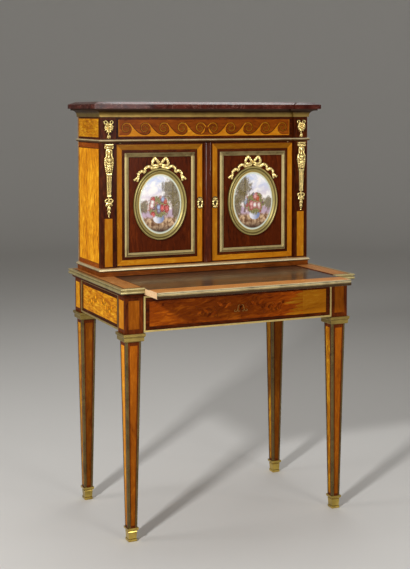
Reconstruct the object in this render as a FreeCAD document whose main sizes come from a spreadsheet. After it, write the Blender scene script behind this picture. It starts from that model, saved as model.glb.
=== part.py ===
"""A lady's writing desk with a two-door cabinet: frame on the floor, +Z up, +X to the sitter's right.

Y runs towards the wall. The origin is the middle of the floor area that the desk covers with its writing
slide drawn out as far as it rests. Sizes are millimetres and live in the sheet, and places are worked out
from them.
"""
import FreeCAD, Part
import os
import re

import Sketcher

SIZES = {
    # Table: width and depth over the corner posts
    "table_width": 716,
    "table_depth": 440,
    "post_width": 54,
    "leg_height": 593,
    "apron_height": 106,
    "shaft_top": 48,
    "shaft_foot": 28,
    "shaft_cant": 7,
    "strip_cant": 2.4,
    "collar_height": 22,
    "collar_reach": 6,
    "sabot_height": 40,
    "sabot_width": 33,
    "sabot_seat": 35,
    "tenon_width": 14,
    "tenon_length": 23,
    "apron_setback": 3,
    "apron_thick": 18,
    "apron_lift": 4,
    "string_width": 5,
    "string_proud": 2.5,
    # Drawer in the apron and what it runs on
    "front_thick": 20,
    "rail_gap": 2,
    "rail_height": 14,
    "upper_rail_height": 11,
    "runner_width": 34,
    "guide_height": 24,
    "drawer_gap": 1.5,
    "drawer_side_gap": 3,
    "drawer_run_gap": 0.4,
    "drawer_side": 12,
    "drawer_wall_height": 75,
    "drawer_back_gap": 49,
    "drawer_bottom_thick": 8,
    "drawer_bottom_lift": 4,
    "lock_width": 60,
    "lock_height": 40,
    "lock_thick": 10,
    "keyhole_radius": 3,
    "keyhole_slot": 2.4,
    "keyhole_drop": 9,
    # Desk top with its fixed cheeks and the writing slide between them
    "top_overhang": 17,
    "top_thick": 24,
    "edge_depth": 10,
    "torus_radius": 5,
    "bead_radius": 3,
    "quirk": 1,
    "ledge_width": 24,
    "ledge_height": 4,
    "back_rail": 20,
    "slide_out": 96,
    "slide_travel": 190,
    "slide_gap": 0.5,
    "slide_drop": 1.5,
    "slide_border": 55,
    "leather_thick": 1.5,
    "cleat_width": 40,
    "cleat_depth": 20,
    "cleat_height": 6,
    "cleat_inset": 80,
    # Cabinet
    "case_width": 694,
    "case_depth": 212,
    "plinth_height": 14,
    "plinth_reach": 3,
    "bottom_thick": 11,
    "door_height": 366.5,
    "door_gap": 1.5,
    "head_height": 13.5,
    "frieze_height": 64,
    "cornice_height": 25,
    "marble_thick": 20,
    "pilaster_width": 48,
    "pilaster_thick": 26,
    "side_thick": 18,
    "back_thick": 8,
    "top_board": 18,
    "shelf_thick": 14,
    "shelf_setback": 26,
    "shelf_rise": 182,
    "shelf_housing": 6,
    "ressaut": 10,
    "head_setback": 4,
    "base_string_radius": 4.5,
    "base_string_reach": 2.5,
    "frieze_string_radius": 4.2,
    "frieze_string_reach": 2,
    "cornice_reach": 24,
    "cornice_lip": 5,
    "cornice_foot": 4,
    "marble_side": 30,
    "marble_front": 35,
    "marble_bevel": 18,
    "marble_bevel_height": 7,
    "mount_height": 54,
    "mount_width": 28,
    "mount_depth": 12,
    "mount_low": 0.5,
    "chute_height": 218,
    "chute_width": 28,
    "chute_depth": 14,
    "capital_height": 7,
    "volute_radius": 4.5,
    "chute_head": 20,
    "flute_width": 2.4,
    "flute_depth": 1.6,
    # Doors on pivots near their outer edges
    "door_thick": 20,
    "door_setback": 6,
    "door_side_gap": 1,
    "meeting_gap": 1.5,
    "battement_width": 26,
    "battement_proud": 7,
    "stile_width": 40,
    "field_depth": 3,
    "frame_width": 12,
    "frame_proud": 6,
    "pivot_inset": 16,
    "pivot_depth": 5,
    "pivot_radius": 2.5,
    "pivot_play": 0.05,
    "pivot_length": 7,
    "pivot_well": 9,
    "pivot_plate_length": 48,
    "pivot_plate_width": 9,
    "pivot_plate_thick": 3,
    "plaque_side_margin": 31.75,
    "plaque_margin": 51.25,
    "plaque_thick": 5,
    "plaque_gap": 0.2,
    "plaque_rim": 2,
    "oval_width": 16,
    "oval_proud": 9,
    "oval_bead": 3,
    "oval_pearl": 2,
    "oval_pearl_drop": 2.5,
    "oval_floor": 3,
    "bow_lift": 13,
    "bow_span": 86,
    "bow_rise": 20,
    "bow_drop": 54,
    "bow_ribbon": 7,
    "bow_thick": 4,
    "bow_knot": 6,
    "key_inset": 11,
    "plate_width": 19,
    "plate_height": 36,
    "plate_thick": 2,
}
FOUR_CORNERS = {"front_left": (-1, -1), "front_right": (1, -1), "back_left": (-1, 1), "back_right": (1, 1)}
HANDS = {"left": -1, "right": 1}

# Rings of the cast corner mounts from top to bottom: shares of the height, the half width and the depth
CHUTE_RING_SHARES = (
    (0.03, 0.70, 0.60), (0.06, 0.75, 0.60), (0.08, 0.50, 0.50), (0.16, 0.45, 0.50), (0.18, 0.85, 0.70),
    (0.21, 1.00, 0.85), (0.26, 0.96, 0.95), (0.32, 0.86, 0.85), (0.385, 0.66, 0.62), (0.395, 0.72, 0.66),
    (0.415, 0.72, 0.66), (0.425, 0.58, 0.52), (0.69, 0.46, 0.46), (0.70, 0.52, 0.52), (0.715, 0.52, 0.52),
    (0.73, 0.20, 0.32), (0.75, 0.24, 0.34), (0.775, 0.86, 0.50), (0.80, 0.72, 0.58), (0.845, 0.34, 0.44),
    (0.865, 0.52, 0.50), (0.905, 0.26, 0.38), (0.92, 0.38, 0.42), (0.955, 0.18, 0.30), (0.975, 0.22, 0.30),
    (1.00, 0.08, 0.15),
)
CHUTE_HEAD_SHARE = 0.12
SHEATH_TOP_SHARE = 0.45
SHEATH_FOOT_SHARE = 0.67
FLUTE_PLACE_SHARE = 0.20
SHEATH_DEPTH_SHARE = 0.50
MOUNT_RING_SHARES = (
    (0.00, 0.30, 0.35), (0.04, 0.95, 0.50), (0.12, 1.00, 0.55), (0.16, 0.60, 0.75), (0.26, 0.82, 1.00),
    (0.44, 0.90, 0.95), (0.60, 0.60, 0.75), (0.68, 0.22, 0.40), (0.78, 0.20, 0.36), (0.86, 0.46, 0.55),
    (0.95, 0.36, 0.48), (1.00, 0.12, 0.20),
)
RING_FRONT_SHARE = 0.55
RING_CANT_SHARE = 0.60
# Rings of the square castings on the legs, from bottom to top: shares of the height and of the width or reach
SABOT_RING_SHARES = (
    (0.00, 0.70), (0.05, 0.78), (0.18, 0.78), (0.22, 0.70), (0.70, 0.78), (0.74, 0.74), (0.86, 1.00),
    (1.00, 1.00),
)
COLLAR_RING_SHARES = ((0.00, 0.20), (0.10, 0.45), (0.50, 0.45), (0.56, 0.55), (0.68, 1.00), (1.00, 1.00))
# Centre lines of the ribbon bow out from its knot: shares of its half span, and of its rise or its drop
BOW_LOOP_SHARES = (
    (0.16, -0.22), (0.28, -0.22), (0.315, 0.15), (0.25, 0.86), (0.20, 0.86), (0.04, 0.10), (0.04, -0.22),
)
BOW_TAIL_SHARES = (
    (0.00, -0.06), (0.08, -0.06), (0.22, -0.19), (0.36, -0.26), (0.43, -0.17), (0.52, -0.20), (0.58, -0.30),
    (0.57, -0.42), (0.63, -0.49), (0.72, -0.45), (0.79, -0.50), (0.83, -0.60), (0.83, -0.74), (0.97, -0.92),
)
# The torus of the door moulding takes the middle half of its width
FRAME_SIDE_SHARE = 0.25
FRAME_EDGE_SHARE = 0.5
GUIDE_PLAY_SHARE = 0.25
PLATE_END_SHARE = 0.5
LOCK_BORE_SHARE = 0.5

# Levels and planes, from the floor up and from front to back
MID = "(slide_out / 2)"
TABLE_FRONT = f"({MID} - table_depth / 2)"
TABLE_BACK = f"({MID} + table_depth / 2)"
TABLE_HALF = "(table_width / 2)"
INNER_HALF = f"({TABLE_HALF} - post_width)"
POST_MID_X = f"({TABLE_HALF} - post_width / 2)"
POST_MID_Y = "(table_depth / 2 - post_width / 2)"
COLLAR_LOW = "(leg_height - collar_height)"
APRON_LOW = "(leg_height + apron_lift)"
APRON_TOP = "(leg_height + apron_height)"
APRON_OUT = f"({TABLE_HALF} - apron_setback)"
APRON_IN = f"({APRON_OUT} - apron_thick)"
POST_BEHIND = f"({TABLE_FRONT} + post_width)"
POST_BEFORE = f"({TABLE_BACK} - post_width)"
DESK = f"({APRON_TOP} + top_thick)"
TOP_FRONT = f"({TABLE_FRONT} - top_overhang)"
TOP_BACK = f"({TABLE_BACK} + top_overhang)"
CORE_FRONT = f"({TOP_FRONT} + edge_depth)"
CORE_BACK = f"({TOP_BACK} - edge_depth)"
CORE_HALF = f"({TABLE_HALF} + top_overhang - edge_depth)"
EDGE_HEIGHT = "(2 * torus_radius + quirk + 2 * bead_radius)"
SLIDE_HALF = f"({INNER_HALF} - slide_gap)"
SLIDE_TOP = f"({DESK} - slide_drop)"
SLIDE_LOW = f"({APRON_TOP} + ledge_height + slide_gap)"
SLIDE_FRONT = f"({CORE_FRONT} - slide_out)"
SLIDE_BACK = f"({CORE_BACK} - back_rail - slide_gap - slide_out)"
RAIL_FRONT = f"({TABLE_FRONT} + front_thick + rail_gap)"
RUNNER_TOP = f"({APRON_LOW} + rail_height)"
DRAWER_LOW = f"({RUNNER_TOP} + drawer_run_gap)"
DRAWER_HALF = f"({INNER_HALF} - drawer_side_gap)"
DRAWER_BEHIND = f"({TABLE_FRONT} + front_thick)"
DRAWER_BACK = f"({TABLE_BACK} - apron_setback - apron_thick - drawer_back_gap)"
DRAWER_FRONT_HALF = f"({INNER_HALF} - drawer_gap)"
DRAWER_FRONT_LOW = f"({APRON_LOW} - drawer_gap)"
DRAWER_FRONT_TOP = f"({APRON_TOP} - drawer_gap)"
DRAWER_FRONT_MID = f"(({DRAWER_FRONT_LOW} + {DRAWER_FRONT_TOP}) / 2)"
CASE_HALF = "(case_width / 2)"
CASE_IN = f"({CASE_HALF} - pilaster_width)"
CASE_FRONT = f"({TABLE_BACK} - case_depth)"
CASE_BEHIND = f"({CASE_FRONT} + pilaster_thick)"
CASE_PANEL = f"({TABLE_BACK} - back_thick)"
PLINTH_TOP = f"({DESK} + plinth_height)"
CASE_FLOOR = f"({PLINTH_TOP} + bottom_thick)"
DOOR_LOW = f"({CASE_FLOOR} + door_gap)"
DOOR_HIGH = f"({DOOR_LOW} + door_height)"
DOOR_MID = f"(({DOOR_LOW} + {DOOR_HIGH}) / 2)"
HEAD_LOW = f"({DOOR_HIGH} + door_gap)"
FRIEZE_LOW = f"({HEAD_LOW} + head_height)"
CORNICE_LOW = f"({FRIEZE_LOW} + frieze_height)"
MARBLE_LOW = f"({CORNICE_LOW} + cornice_height)"
TOP_BOARD_LOW = f"({MARBLE_LOW} - top_board)"
SHELF_LOW = f"({CASE_FLOOR} + shelf_rise)"
DOOR_FRONT = f"({CASE_FRONT} + door_setback)"
DOOR_BACK = f"({DOOR_FRONT} + door_thick)"
DOOR_EDGE = f"({CASE_IN} - door_side_gap)"
MEETING = "(battement_width / 2)"
LEFT_MEETING = f"({MEETING} + meeting_gap)"
FIELD_MID = f"(({DOOR_EDGE} + {LEFT_MEETING}) / 2)"
FIELD_HALF = f"(({DOOR_EDGE} - {LEFT_MEETING}) / 2 - stile_width)"
FIELD_HALF_HEIGHT = "(door_height / 2 - stile_width)"
FIELD_FACE = f"({DOOR_FRONT} + field_depth)"
PIVOT_X = f"({DOOR_EDGE} - pivot_inset)"
PIVOT_Y = f"({DOOR_FRONT} + pivot_depth)"
KEY_X = f"({LEFT_MEETING} + key_inset)"
PLAQUE_HALF = f"({FIELD_HALF} - plaque_side_margin)"
PLAQUE_HALF_HEIGHT = f"({FIELD_HALF_HEIGHT} - plaque_margin)"

doc = FreeCAD.newDocument("writing_desk")
sheet = doc.addObject("Spreadsheet::Sheet", "Sizes")
nodes = []


def fill_sheet():
    """Puts every driving size in the sheet, with its name beside it and as its alias."""
    for row, (name, size) in enumerate(SIZES.items(), start=1):
        sheet.set(f"A{row}", name)
        sheet.set(f"B{row}", str(size))
        sheet.setAlias(f"B{row}", name)
    doc.recompute()


def linked(expression):
    """The expression with each size named as a cell of the sheet."""
    def cell(word):
        return f"Sizes.{word.group()}" if word.group() in SIZES else word.group()
    return re.sub(r"[a-z_]+", cell, expression)


def value(expression):
    """What an expression comes to, as a plain number."""
    return float(sheet.evalExpression(linked(expression)))


def bind(item, path, expression):
    item.setExpression(path, linked(expression))


def name_node(item, label):
    """Marks an object as a finished sub-part, which gets a file of its own."""
    item.Label = label
    nodes.append(item)
    return item


def sided(sign, near, far):
    """A stretch along X on the right (sign 1) or the left (sign -1), as low and high ends."""
    return (near, far) if sign > 0 else (f"-({far})", f"-({near})")


def board(name, x, y, z):
    """A box between the low and high ends given for each axis."""
    box = doc.addObject("Part::Box", name)
    for side, axis, (low, high) in zip(("Length", "Width", "Height"), "xyz", (x, y, z)):
        bind(box, side, f"({high}) - ({low})")
        bind(box, f"Placement.Base.{axis}", low)
    return box


def pin(name, x, y, z, radius):
    """An upright cylinder between two heights."""
    cylinder = doc.addObject("Part::Cylinder", name)
    bind(cylinder, "Radius", radius)
    bind(cylinder, "Height", f"({z[1]}) - ({z[0]})")
    for axis, place in zip("xyz", (x, y, z[0])):
        bind(cylinder, f"Placement.Base.{axis}", place)
    return cylinder


def fused(name, items):
    fusion = doc.addObject("Part::MultiFuse", name)
    fusion.Shapes = items
    return fusion


def cut(name, base, tools):
    """The base with every tool taken away."""
    for number, tool in enumerate(tools):
        result = doc.addObject("Part::Cut", name if number == len(tools) - 1 else f"{name}_{number}")
        result.Base = base
        result.Tool = tool
        base = result
    return base


def group(name, items):
    """Separate solids that share one node."""
    compound = doc.addObject("Part::Compound", name)
    compound.Links = items
    return compound


def hold(sketch, element, point, place):
    """Fixes a point of a sketch at a pair of expressions."""
    for kind, expression in zip(("DistanceX", "DistanceY"), place):
        index = sketch.addConstraint(Sketcher.Constraint(kind, -1, 1, element, point, value(expression)))
        bind(sketch, f"Constraints[{index}]", expression)


def draw(sketch, corners, closed=True):
    """Draws an outline through pairs of expressions.

    A corner with four expressions starts an arc to the next corner, about the centre in its last two.
    """
    count = len(corners)
    ends = []
    for number in range(count if closed else count - 1):
        corner = corners[number]
        start = FreeCAD.Vector(value(corner[0]), value(corner[1]))
        following = corners[(number + 1) % count]
        finish = FreeCAD.Vector(value(following[0]), value(following[1]))
        if len(corner) == 2:
            element = sketch.addGeometry(Part.LineSegment(start, finish))
            ends.append((element, 1, 2))
            continue
        centre = FreeCAD.Vector(value(corner[2]), value(corner[3]))
        turn = (start - centre).cross(finish - centre).z
        first, last = (start, finish) if turn > 0 else (finish, start)
        middle = (first + last) / 2 - centre
        middle = centre + middle.normalize() * (start - centre).Length
        element = sketch.addGeometry(Part.Arc(first, middle, last))
        ends.append((element, 1, 2) if turn > 0 else (element, 2, 1))
        index = sketch.addConstraint(Sketcher.Constraint("DistanceX", -1, 1, element, 3, centre.x))
        bind(sketch, f"Constraints[{index}]", corner[2])
    for number, (element, first, last) in enumerate(ends):
        hold(sketch, element, first, corners[number][:2])
        if number + 1 < len(ends) or closed:
            following, following_first, _ = ends[(number + 1) % len(ends)]
            sketch.addConstraint(Sketcher.Constraint("Coincident", element, last, following, following_first))
        else:
            hold(sketch, element, last, corners[-1][:2])
    return sketch


def plane_sketch(name, axes, place):
    """A sketch outside any body: axes are its own x and y directions, place its zero point."""
    sketch = doc.addObject("Sketcher::SketchObject", name)
    across, up = (FreeCAD.Vector(*axis) for axis in axes)
    sketch.Placement.Rotation = FreeCAD.Rotation(across, up, across.cross(up), "XYZ")
    for axis, expression in zip("xyz", place):
        bind(sketch, f"Placement.Base.{axis}", expression)
    return sketch


def body_sketch(body, name, role, offset):
    """A sketch on one of the body's own planes, moved along that plane's normal."""
    sketch = body.newObject("Sketcher::SketchObject", name)
    plane = next(item for item in body.Origin.OriginFeatures if item.Role == role)
    sketch.AttachmentSupport = [(plane, "")]
    sketch.MapMode = "FlatFace"
    bind(sketch, "AttachmentOffset.Base.z", offset)
    return sketch


def pad(body, name, role, offset, corners, length):
    """A pad of an outline from one of the body's planes, along that plane's normal."""
    feature = body.newObject("PartDesign::Pad", name)
    feature.Profile = draw(body_sketch(body, f"{name}_outline", role, offset), corners)
    bind(feature, "Length", length)
    return feature


def pocket(body, name, role, offset, corners, depth):
    """A pocket of an outline, against the normal of one of the body's planes."""
    feature = body.newObject("PartDesign::Pocket", name)
    feature.Profile = draw(body_sketch(body, f"{name}_outline", role, offset), corners)
    bind(feature, "Length", depth)
    return feature


def moulding(name, profile, path, corner="Right corner"):
    """A profile carried along every edge of a path, mitred or rounded where the path turns."""
    doc.recompute()
    sweep = doc.addObject("Part::Sweep", name)
    sweep.Sections = [profile]
    sweep.Spine = (path, [f"Edge{number + 1}" for number in range(len(path.Shape.Edges))])
    sweep.Solid = True
    sweep.Frenet = False
    sweep.Transition = corner
    return sweep


def rectangle(low_x, high_x, low_y, high_y):
    return [(low_x, low_y), (high_x, low_y), (high_x, high_y), (low_x, high_y)]


def canted_square(mid, half, cant):
    """A square about a point with its four corners cut."""
    inner = f"({half}) - ({cant})"
    corners = []
    for x, y in ((-1, -1), (1, -1), (1, 1), (-1, 1)):
        ends = [(f"{x} * ({inner})", f"{y} * ({half})"), (f"{x} * ({half})", f"{y} * ({inner})")]
        corners += ends[::-1] if x == y else ends
    return [(f"{mid[0]} + {x}", f"{mid[1]} + {y}") for x, y in corners]


def square(mid, half):
    return rectangle(f"{mid[0]} - {half}", f"{mid[0]} + {half}", f"{mid[1]} - {half}", f"{mid[1]} + {half}")


def stacked(body, name, rings):
    """A loft through level outlines, each given with its height, with straight walls between them."""
    sketches = [draw(body_sketch(body, f"{name}_ring_{number}", "XY_Plane", height), corners)
                for number, (height, corners) in enumerate(rings)]
    loft = body.newObject("PartDesign::AdditiveLoft", name)
    loft.Profile = sketches[0]
    loft.Sections = [(sketch, [""]) for sketch in sketches[1:]]
    loft.Ruled = True
    return loft


def leg_middle(corner):
    x, y = FOUR_CORNERS[corner]
    return f"{x} * {POST_MID_X}", f"{MID} + {y} * {POST_MID_Y}"


def shaft(body, name, corner, cant):
    """The tapered shaft of a leg, with cut corners, from its seat in the sabot to the foot of its post."""
    mid = leg_middle(corner)
    stacked(body, name, [("sabot_seat", canted_square(mid, "shaft_foot / 2", cant)),
                         ("leg_height", canted_square(mid, "shaft_top / 2", cant))])


def make_leg(corner):
    leg = doc.addObject("PartDesign::Body", f"leg_{corner}")
    shaft(leg, f"shaft_{corner}", corner, "shaft_cant")
    mid = leg_middle(corner)
    pad(leg, f"post_{corner}", "XY_Plane", "leg_height", square(mid, "post_width / 2"), "apron_height")
    pad(leg, f"tenon_{corner}", "XY_Plane", "sabot_seat - tenon_length", square(mid, "tenon_width / 2"),
        "tenon_length")
    return name_node(leg, f"leg_{corner}")


def make_sabot(corner, leg):
    """A square cast foot, ringed below and lipped above, mortised for the tenon of the leg."""
    mid = leg_middle(corner)
    shoe = doc.addObject("PartDesign::Body", f"shoe_{corner}")
    stacked(shoe, f"shoe_{corner}_loft", [
        (f"sabot_height * {rise_share}", square(mid, f"(sabot_width / 2 * {width_share})"))
        for rise_share, width_share in SABOT_RING_SHARES])
    return name_node(cut(f"sabot_{corner}", shoe, [leg]), f"sabot_{corner}")


def make_collar(corner, leg):
    """A moulded square ring under the post, let over the shaft."""
    mid = leg_middle(corner)
    collar = doc.addObject("PartDesign::Body", f"collar_block_{corner}")
    stacked(collar, f"collar_{corner}_loft", [
        (f"{COLLAR_LOW} + collar_height * {rise_share}",
         square(mid, f"(post_width / 2 + collar_reach * {reach_share})"))
        for rise_share, reach_share in COLLAR_RING_SHARES])
    return cut(f"collar_{corner}", collar, [leg])


def make_legs():
    collars = []
    strips = []
    for corner in FOUR_CORNERS:
        leg = make_leg(corner)
        sabot = make_sabot(corner, leg)
        collars.append(make_collar(corner, leg))
        edged = doc.addObject("PartDesign::Body", f"edged_shaft_{corner}")
        shaft(edged, f"edged_{corner}", corner, "strip_cant")
        strips.append(cut(f"strips_{corner}", edged, [leg, sabot, collars[-1]]))
    name_node(group("leg_collars", collars), "leg_collars")
    name_node(group("leg_strips", strips), "leg_strips")


def string_frame(name, x, z, face, towards):
    """A flat rectangular string on a face at right angles to Y, or to X where towards is an X direction."""
    band = doc.addObject("PartDesign::Body", f"{name}_body")
    role, flip = ("XZ_Plane", -1) if towards == "front" else ("YZ_Plane", 1)
    start = f"{flip} * ({face})" if towards != "left" else f"({face}) - string_proud"
    pad(band, f"{name}_band", role, start, rectangle(*x, *z), "string_proud")
    inner_x = (f"{x[0]} + string_width", f"{x[1]} - string_width")
    inner_z = (f"{z[0]} + string_width", f"{z[1]} - string_width")
    pocket(band, f"{name}_opening", role, f"{start} + string_proud", rectangle(*inner_x, *inner_z),
           "string_proud")
    return band


def make_apron():
    between = (POST_BEHIND, POST_BEFORE)
    height = (APRON_LOW, APRON_TOP)
    strings = []
    for hand, sign in HANDS.items():
        name_node(board(f"apron_{hand}", sided(sign, APRON_IN, APRON_OUT), between, height), f"apron_{hand}")
        strings.append(string_frame(f"apron_string_{hand}", between, height, f"{sign} * {APRON_OUT}", hand))
    name_node(group("apron_strings", strings), "apron_strings")
    across = (f"-{INNER_HALF}", INNER_HALF)
    behind = (f"{TABLE_BACK} - apron_setback - apron_thick", f"{TABLE_BACK} - apron_setback")
    name_node(board("apron_back", across, behind, height), "apron_back")
    rail = (RAIL_FRONT, POST_BEHIND)
    name_node(board("front_lower_rail", across, rail, (APRON_LOW, RUNNER_TOP)), "front_lower_rail")
    name_node(board("front_upper_rail", across, rail, (f"{APRON_TOP} - upper_rail_height", APRON_TOP)),
              "front_upper_rail")


def make_runners():
    """Runners with a guide along them, which carry the drawer and keep it straight."""
    for hand, sign in HANDS.items():
        near = f"{INNER_HALF} - runner_width"
        guide = f"{DRAWER_HALF} + drawer_side_gap * {GUIDE_PLAY_SHARE}"
        runner = doc.addObject("PartDesign::Body", f"drawer_runner_{hand}")
        corners = [(near, APRON_LOW), (APRON_IN, APRON_LOW), (APRON_IN, f"{RUNNER_TOP} + guide_height"),
                   (guide, f"{RUNNER_TOP} + guide_height"), (guide, RUNNER_TOP), (near, RUNNER_TOP)]
        pad(runner, f"runner_{hand}", "XZ_Plane", f"-{POST_BEFORE}",
            [(f"{sign} * ({x})", z) for x, z in corners], f"{POST_BEFORE} - {POST_BEHIND}")
        name_node(runner, f"drawer_runner_{hand}")


def keyhole(mid_x, mid_z):
    """The outline of a keyhole about its round part: a circle running into a straight slot."""
    shoulder = f"({mid_z} - sqrt(keyhole_radius ^ 2 - keyhole_slot ^ 2 / 4))"
    foot = f"({mid_z} - keyhole_drop)"
    left, right = f"{mid_x} - keyhole_slot / 2", f"{mid_x} + keyhole_slot / 2"
    side_left, side_right = f"{mid_x} - keyhole_radius", f"{mid_x} + keyhole_radius"
    top = f"{mid_z} + keyhole_radius"
    return [(left, foot), (right, foot), (right, shoulder, mid_x, mid_z), (side_right, mid_z, mid_x, mid_z),
            (mid_x, top, mid_x, mid_z), (side_left, mid_z, mid_x, mid_z), (left, shoulder)]


def lock_case(name, mid_x, mid_z, face):
    """A flat lock case on the inner face of a front, with its bolt withdrawn into it."""
    case = doc.addObject("PartDesign::Body", name)
    half = "lock_width / 2"
    pad(case, f"{name}_block", "XZ_Plane", f"-({face} + lock_thick)",
        rectangle(f"{mid_x} - {half}", f"{mid_x} + {half}",
                  f"{mid_z} - lock_height / 2", f"{mid_z} + lock_height / 2"),
        "lock_thick")
    pocket(case, f"{name}_keyhole", "XZ_Plane", f"-({face})", keyhole(mid_x, mid_z),
           f"lock_thick * {LOCK_BORE_SHARE}")
    return case


def key_plate(name, mid_x, mid_z, face):
    """A plate round a keyhole, drawn in towards its upper and lower ends."""
    plate = doc.addObject("PartDesign::Body", name)
    half, tall = "plate_width / 2", "plate_height / 2"
    end = f"{half} * {PLATE_END_SHARE}"
    corners = [(f"{mid_x} - {end}", f"{mid_z} - {tall}"), (f"{mid_x} + {end}", f"{mid_z} - {tall}"),
               (f"{mid_x} + {half}", f"{mid_z} - {half}"), (f"{mid_x} + {half}", f"{mid_z} + {half}"),
               (f"{mid_x} + {end}", f"{mid_z} + {tall}"), (f"{mid_x} - {end}", f"{mid_z} + {tall}"),
               (f"{mid_x} - {half}", f"{mid_z} + {half}"), (f"{mid_x} - {half}", f"{mid_z} - {half}")]
    pad(plate, f"{name}_plate", "XZ_Plane", f"-({face})", corners, "plate_thick")
    pocket(plate, f"{name}_keyhole", "XZ_Plane", f"-({face} - plate_thick)", keyhole(mid_x, mid_z),
           "plate_thick")
    return plate


def make_drawer():
    front = doc.addObject("PartDesign::Body", "drawer_front")
    width, height = (f"-{DRAWER_FRONT_HALF}", DRAWER_FRONT_HALF), (DRAWER_FRONT_LOW, DRAWER_FRONT_TOP)
    pad(front, "drawer_face", "XZ_Plane", f"-{DRAWER_BEHIND}", rectangle(*width, *height), "front_thick")
    pocket(front, "drawer_keyhole", "XZ_Plane", f"-{TABLE_FRONT}", keyhole("0", DRAWER_FRONT_MID),
           "front_thick")
    name_node(front, "drawer_front")
    name_node(string_frame("drawer_string", width, height, TABLE_FRONT, "front"), "drawer_string")
    name_node(lock_case("drawer_lock", "0", DRAWER_FRONT_MID, DRAWER_BEHIND), "drawer_lock")
    depth = (DRAWER_BEHIND, DRAWER_BACK)
    wall = (DRAWER_LOW, f"{DRAWER_LOW} + drawer_wall_height")
    inside = f"{DRAWER_HALF} - drawer_side"
    for hand, sign in HANDS.items():
        side = board(f"drawer_wall_{hand}", sided(sign, inside, DRAWER_HALF), depth, wall)
        name_node(side, f"drawer_side_{hand}")
    across = (f"-({inside})", inside)
    floor = f"{DRAWER_LOW} + drawer_bottom_lift"
    name_node(board("drawer_back", across, (f"{DRAWER_BACK} - drawer_side", DRAWER_BACK),
                    (f"{floor} + drawer_bottom_thick", wall[1])), "drawer_back")
    bottom = board("drawer_floor", across, depth, (floor, f"{floor} + drawer_bottom_thick"))
    name_node(bottom, "drawer_bottom")


def reeded_profile():
    """A torus below a bead with a quirk between them, out from the edge it is fixed to and up from its foot."""
    torus_in = "(edge_depth - torus_radius)"
    bead_in = "(edge_depth - bead_radius)"
    torus_top = "(2 * torus_radius)"
    bead_low = "(2 * torus_radius + quirk)"
    return [("0", "0"), (torus_in, "0", torus_in, "torus_radius"),
            ("edge_depth", "torus_radius", torus_in, "torus_radius"), (torus_in, torus_top),
            (torus_in, bead_low), (bead_in, bead_low, bead_in, f"{bead_low} + bead_radius"),
            ("edge_depth", f"{bead_low} + bead_radius", bead_in, f"{bead_low} + bead_radius"),
            (bead_in, EDGE_HEIGHT), ("0", EDGE_HEIGHT)]


def make_desk_top():
    """Two fixed cheeks, each with a ledge that the slide runs on, joined at the back and edged in brass."""
    for hand, sign in HANDS.items():
        cheek = doc.addObject("PartDesign::Body", f"top_cheek_{hand}")
        ledge = f"{APRON_TOP} + ledge_height"
        corners = [(f"{INNER_HALF} - ledge_width", APRON_TOP), (CORE_HALF, APRON_TOP), (CORE_HALF, DESK),
                   (INNER_HALF, DESK), (INNER_HALF, ledge), (f"{INNER_HALF} - ledge_width", ledge)]
        pad(cheek, f"cheek_{hand}", "XZ_Plane", f"-{CORE_BACK}", [(f"{sign} * ({x})", z) for x, z in corners],
            f"{CORE_BACK} - {CORE_FRONT}")
        name_node(cheek, f"top_cheek_{hand}")
    back = (f"{CORE_BACK} - back_rail", CORE_BACK)
    height = (f"{APRON_TOP} + ledge_height", DESK)
    rail = board("back_rail_board", (f"-{INNER_HALF}", INNER_HALF), back, height)
    name_node(rail, "top_back_rail")
    foot = f"{DESK} - {EDGE_HEIGHT}"
    start = (f"-{INNER_HALF}", CORE_FRONT, foot)
    profile = draw(plane_sketch("top_edge_profile", ((0, -1, 0), (0, 0, 1)), start),
                   reeded_profile())
    path = draw(plane_sketch("top_edge_path", ((1, 0, 0), (0, 1, 0)), ("0", "0", foot)),
                [(f"-{INNER_HALF}", CORE_FRONT), (f"-{CORE_HALF}", CORE_FRONT), (f"-{CORE_HALF}", CORE_BACK),
                 (CORE_HALF, CORE_BACK), (CORE_HALF, CORE_FRONT), (INNER_HALF, CORE_FRONT)], closed=False)
    name_node(moulding("top_moulding", profile, path), "top_moulding")


def make_slide():
    """The writing slide: a board with a sunk leather, a brass front edge and two stop cleats below."""
    across = (f"-{SLIDE_HALF}", SLIDE_HALF)
    plank = board("slide_plank", across, (SLIDE_FRONT, SLIDE_BACK), (SLIDE_LOW, SLIDE_TOP))
    leather_depth = (f"{SLIDE_FRONT} + slide_border", SLIDE_BACK)
    leather_height = (f"{SLIDE_TOP} - leather_thick", SLIDE_TOP)
    recess = board("leather_recess", across, leather_depth, leather_height)
    stop = f"{POST_BEHIND} + slide_travel - slide_out + slide_gap"
    cleats = []
    for hand, sign in HANDS.items():
        middle = f"{sign} * ({INNER_HALF} - ledge_width - cleat_inset)"
        width = (f"{middle} - cleat_width / 2", f"{middle} + cleat_width / 2")
        cleats.append(board(f"cleat_{hand}", width, (stop, f"{stop} + cleat_depth"),
                            (f"{SLIDE_LOW} - cleat_height", SLIDE_LOW)))
    plank = cut("slide_field", plank, [recess])
    name_node(fused("slide_board", [plank] + cleats), "slide_board")
    name_node(board("slide_skin", across, leather_depth, leather_height), "slide_leather")
    foot = f"{SLIDE_TOP} - {EDGE_HEIGHT}"
    start = (f"-{SLIDE_HALF}", SLIDE_FRONT, foot)
    profile = draw(plane_sketch("slide_edge_profile", ((0, -1, 0), (0, 0, 1)), start),
                   reeded_profile())
    path = draw(plane_sketch("slide_edge_path", ((1, 0, 0), (0, 1, 0)), ("0", "0", foot)),
                [(f"-{SLIDE_HALF}", SLIDE_FRONT), (SLIDE_HALF, SLIDE_FRONT)], closed=False)
    name_node(moulding("slide_moulding", profile, path), "slide_moulding")


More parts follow.
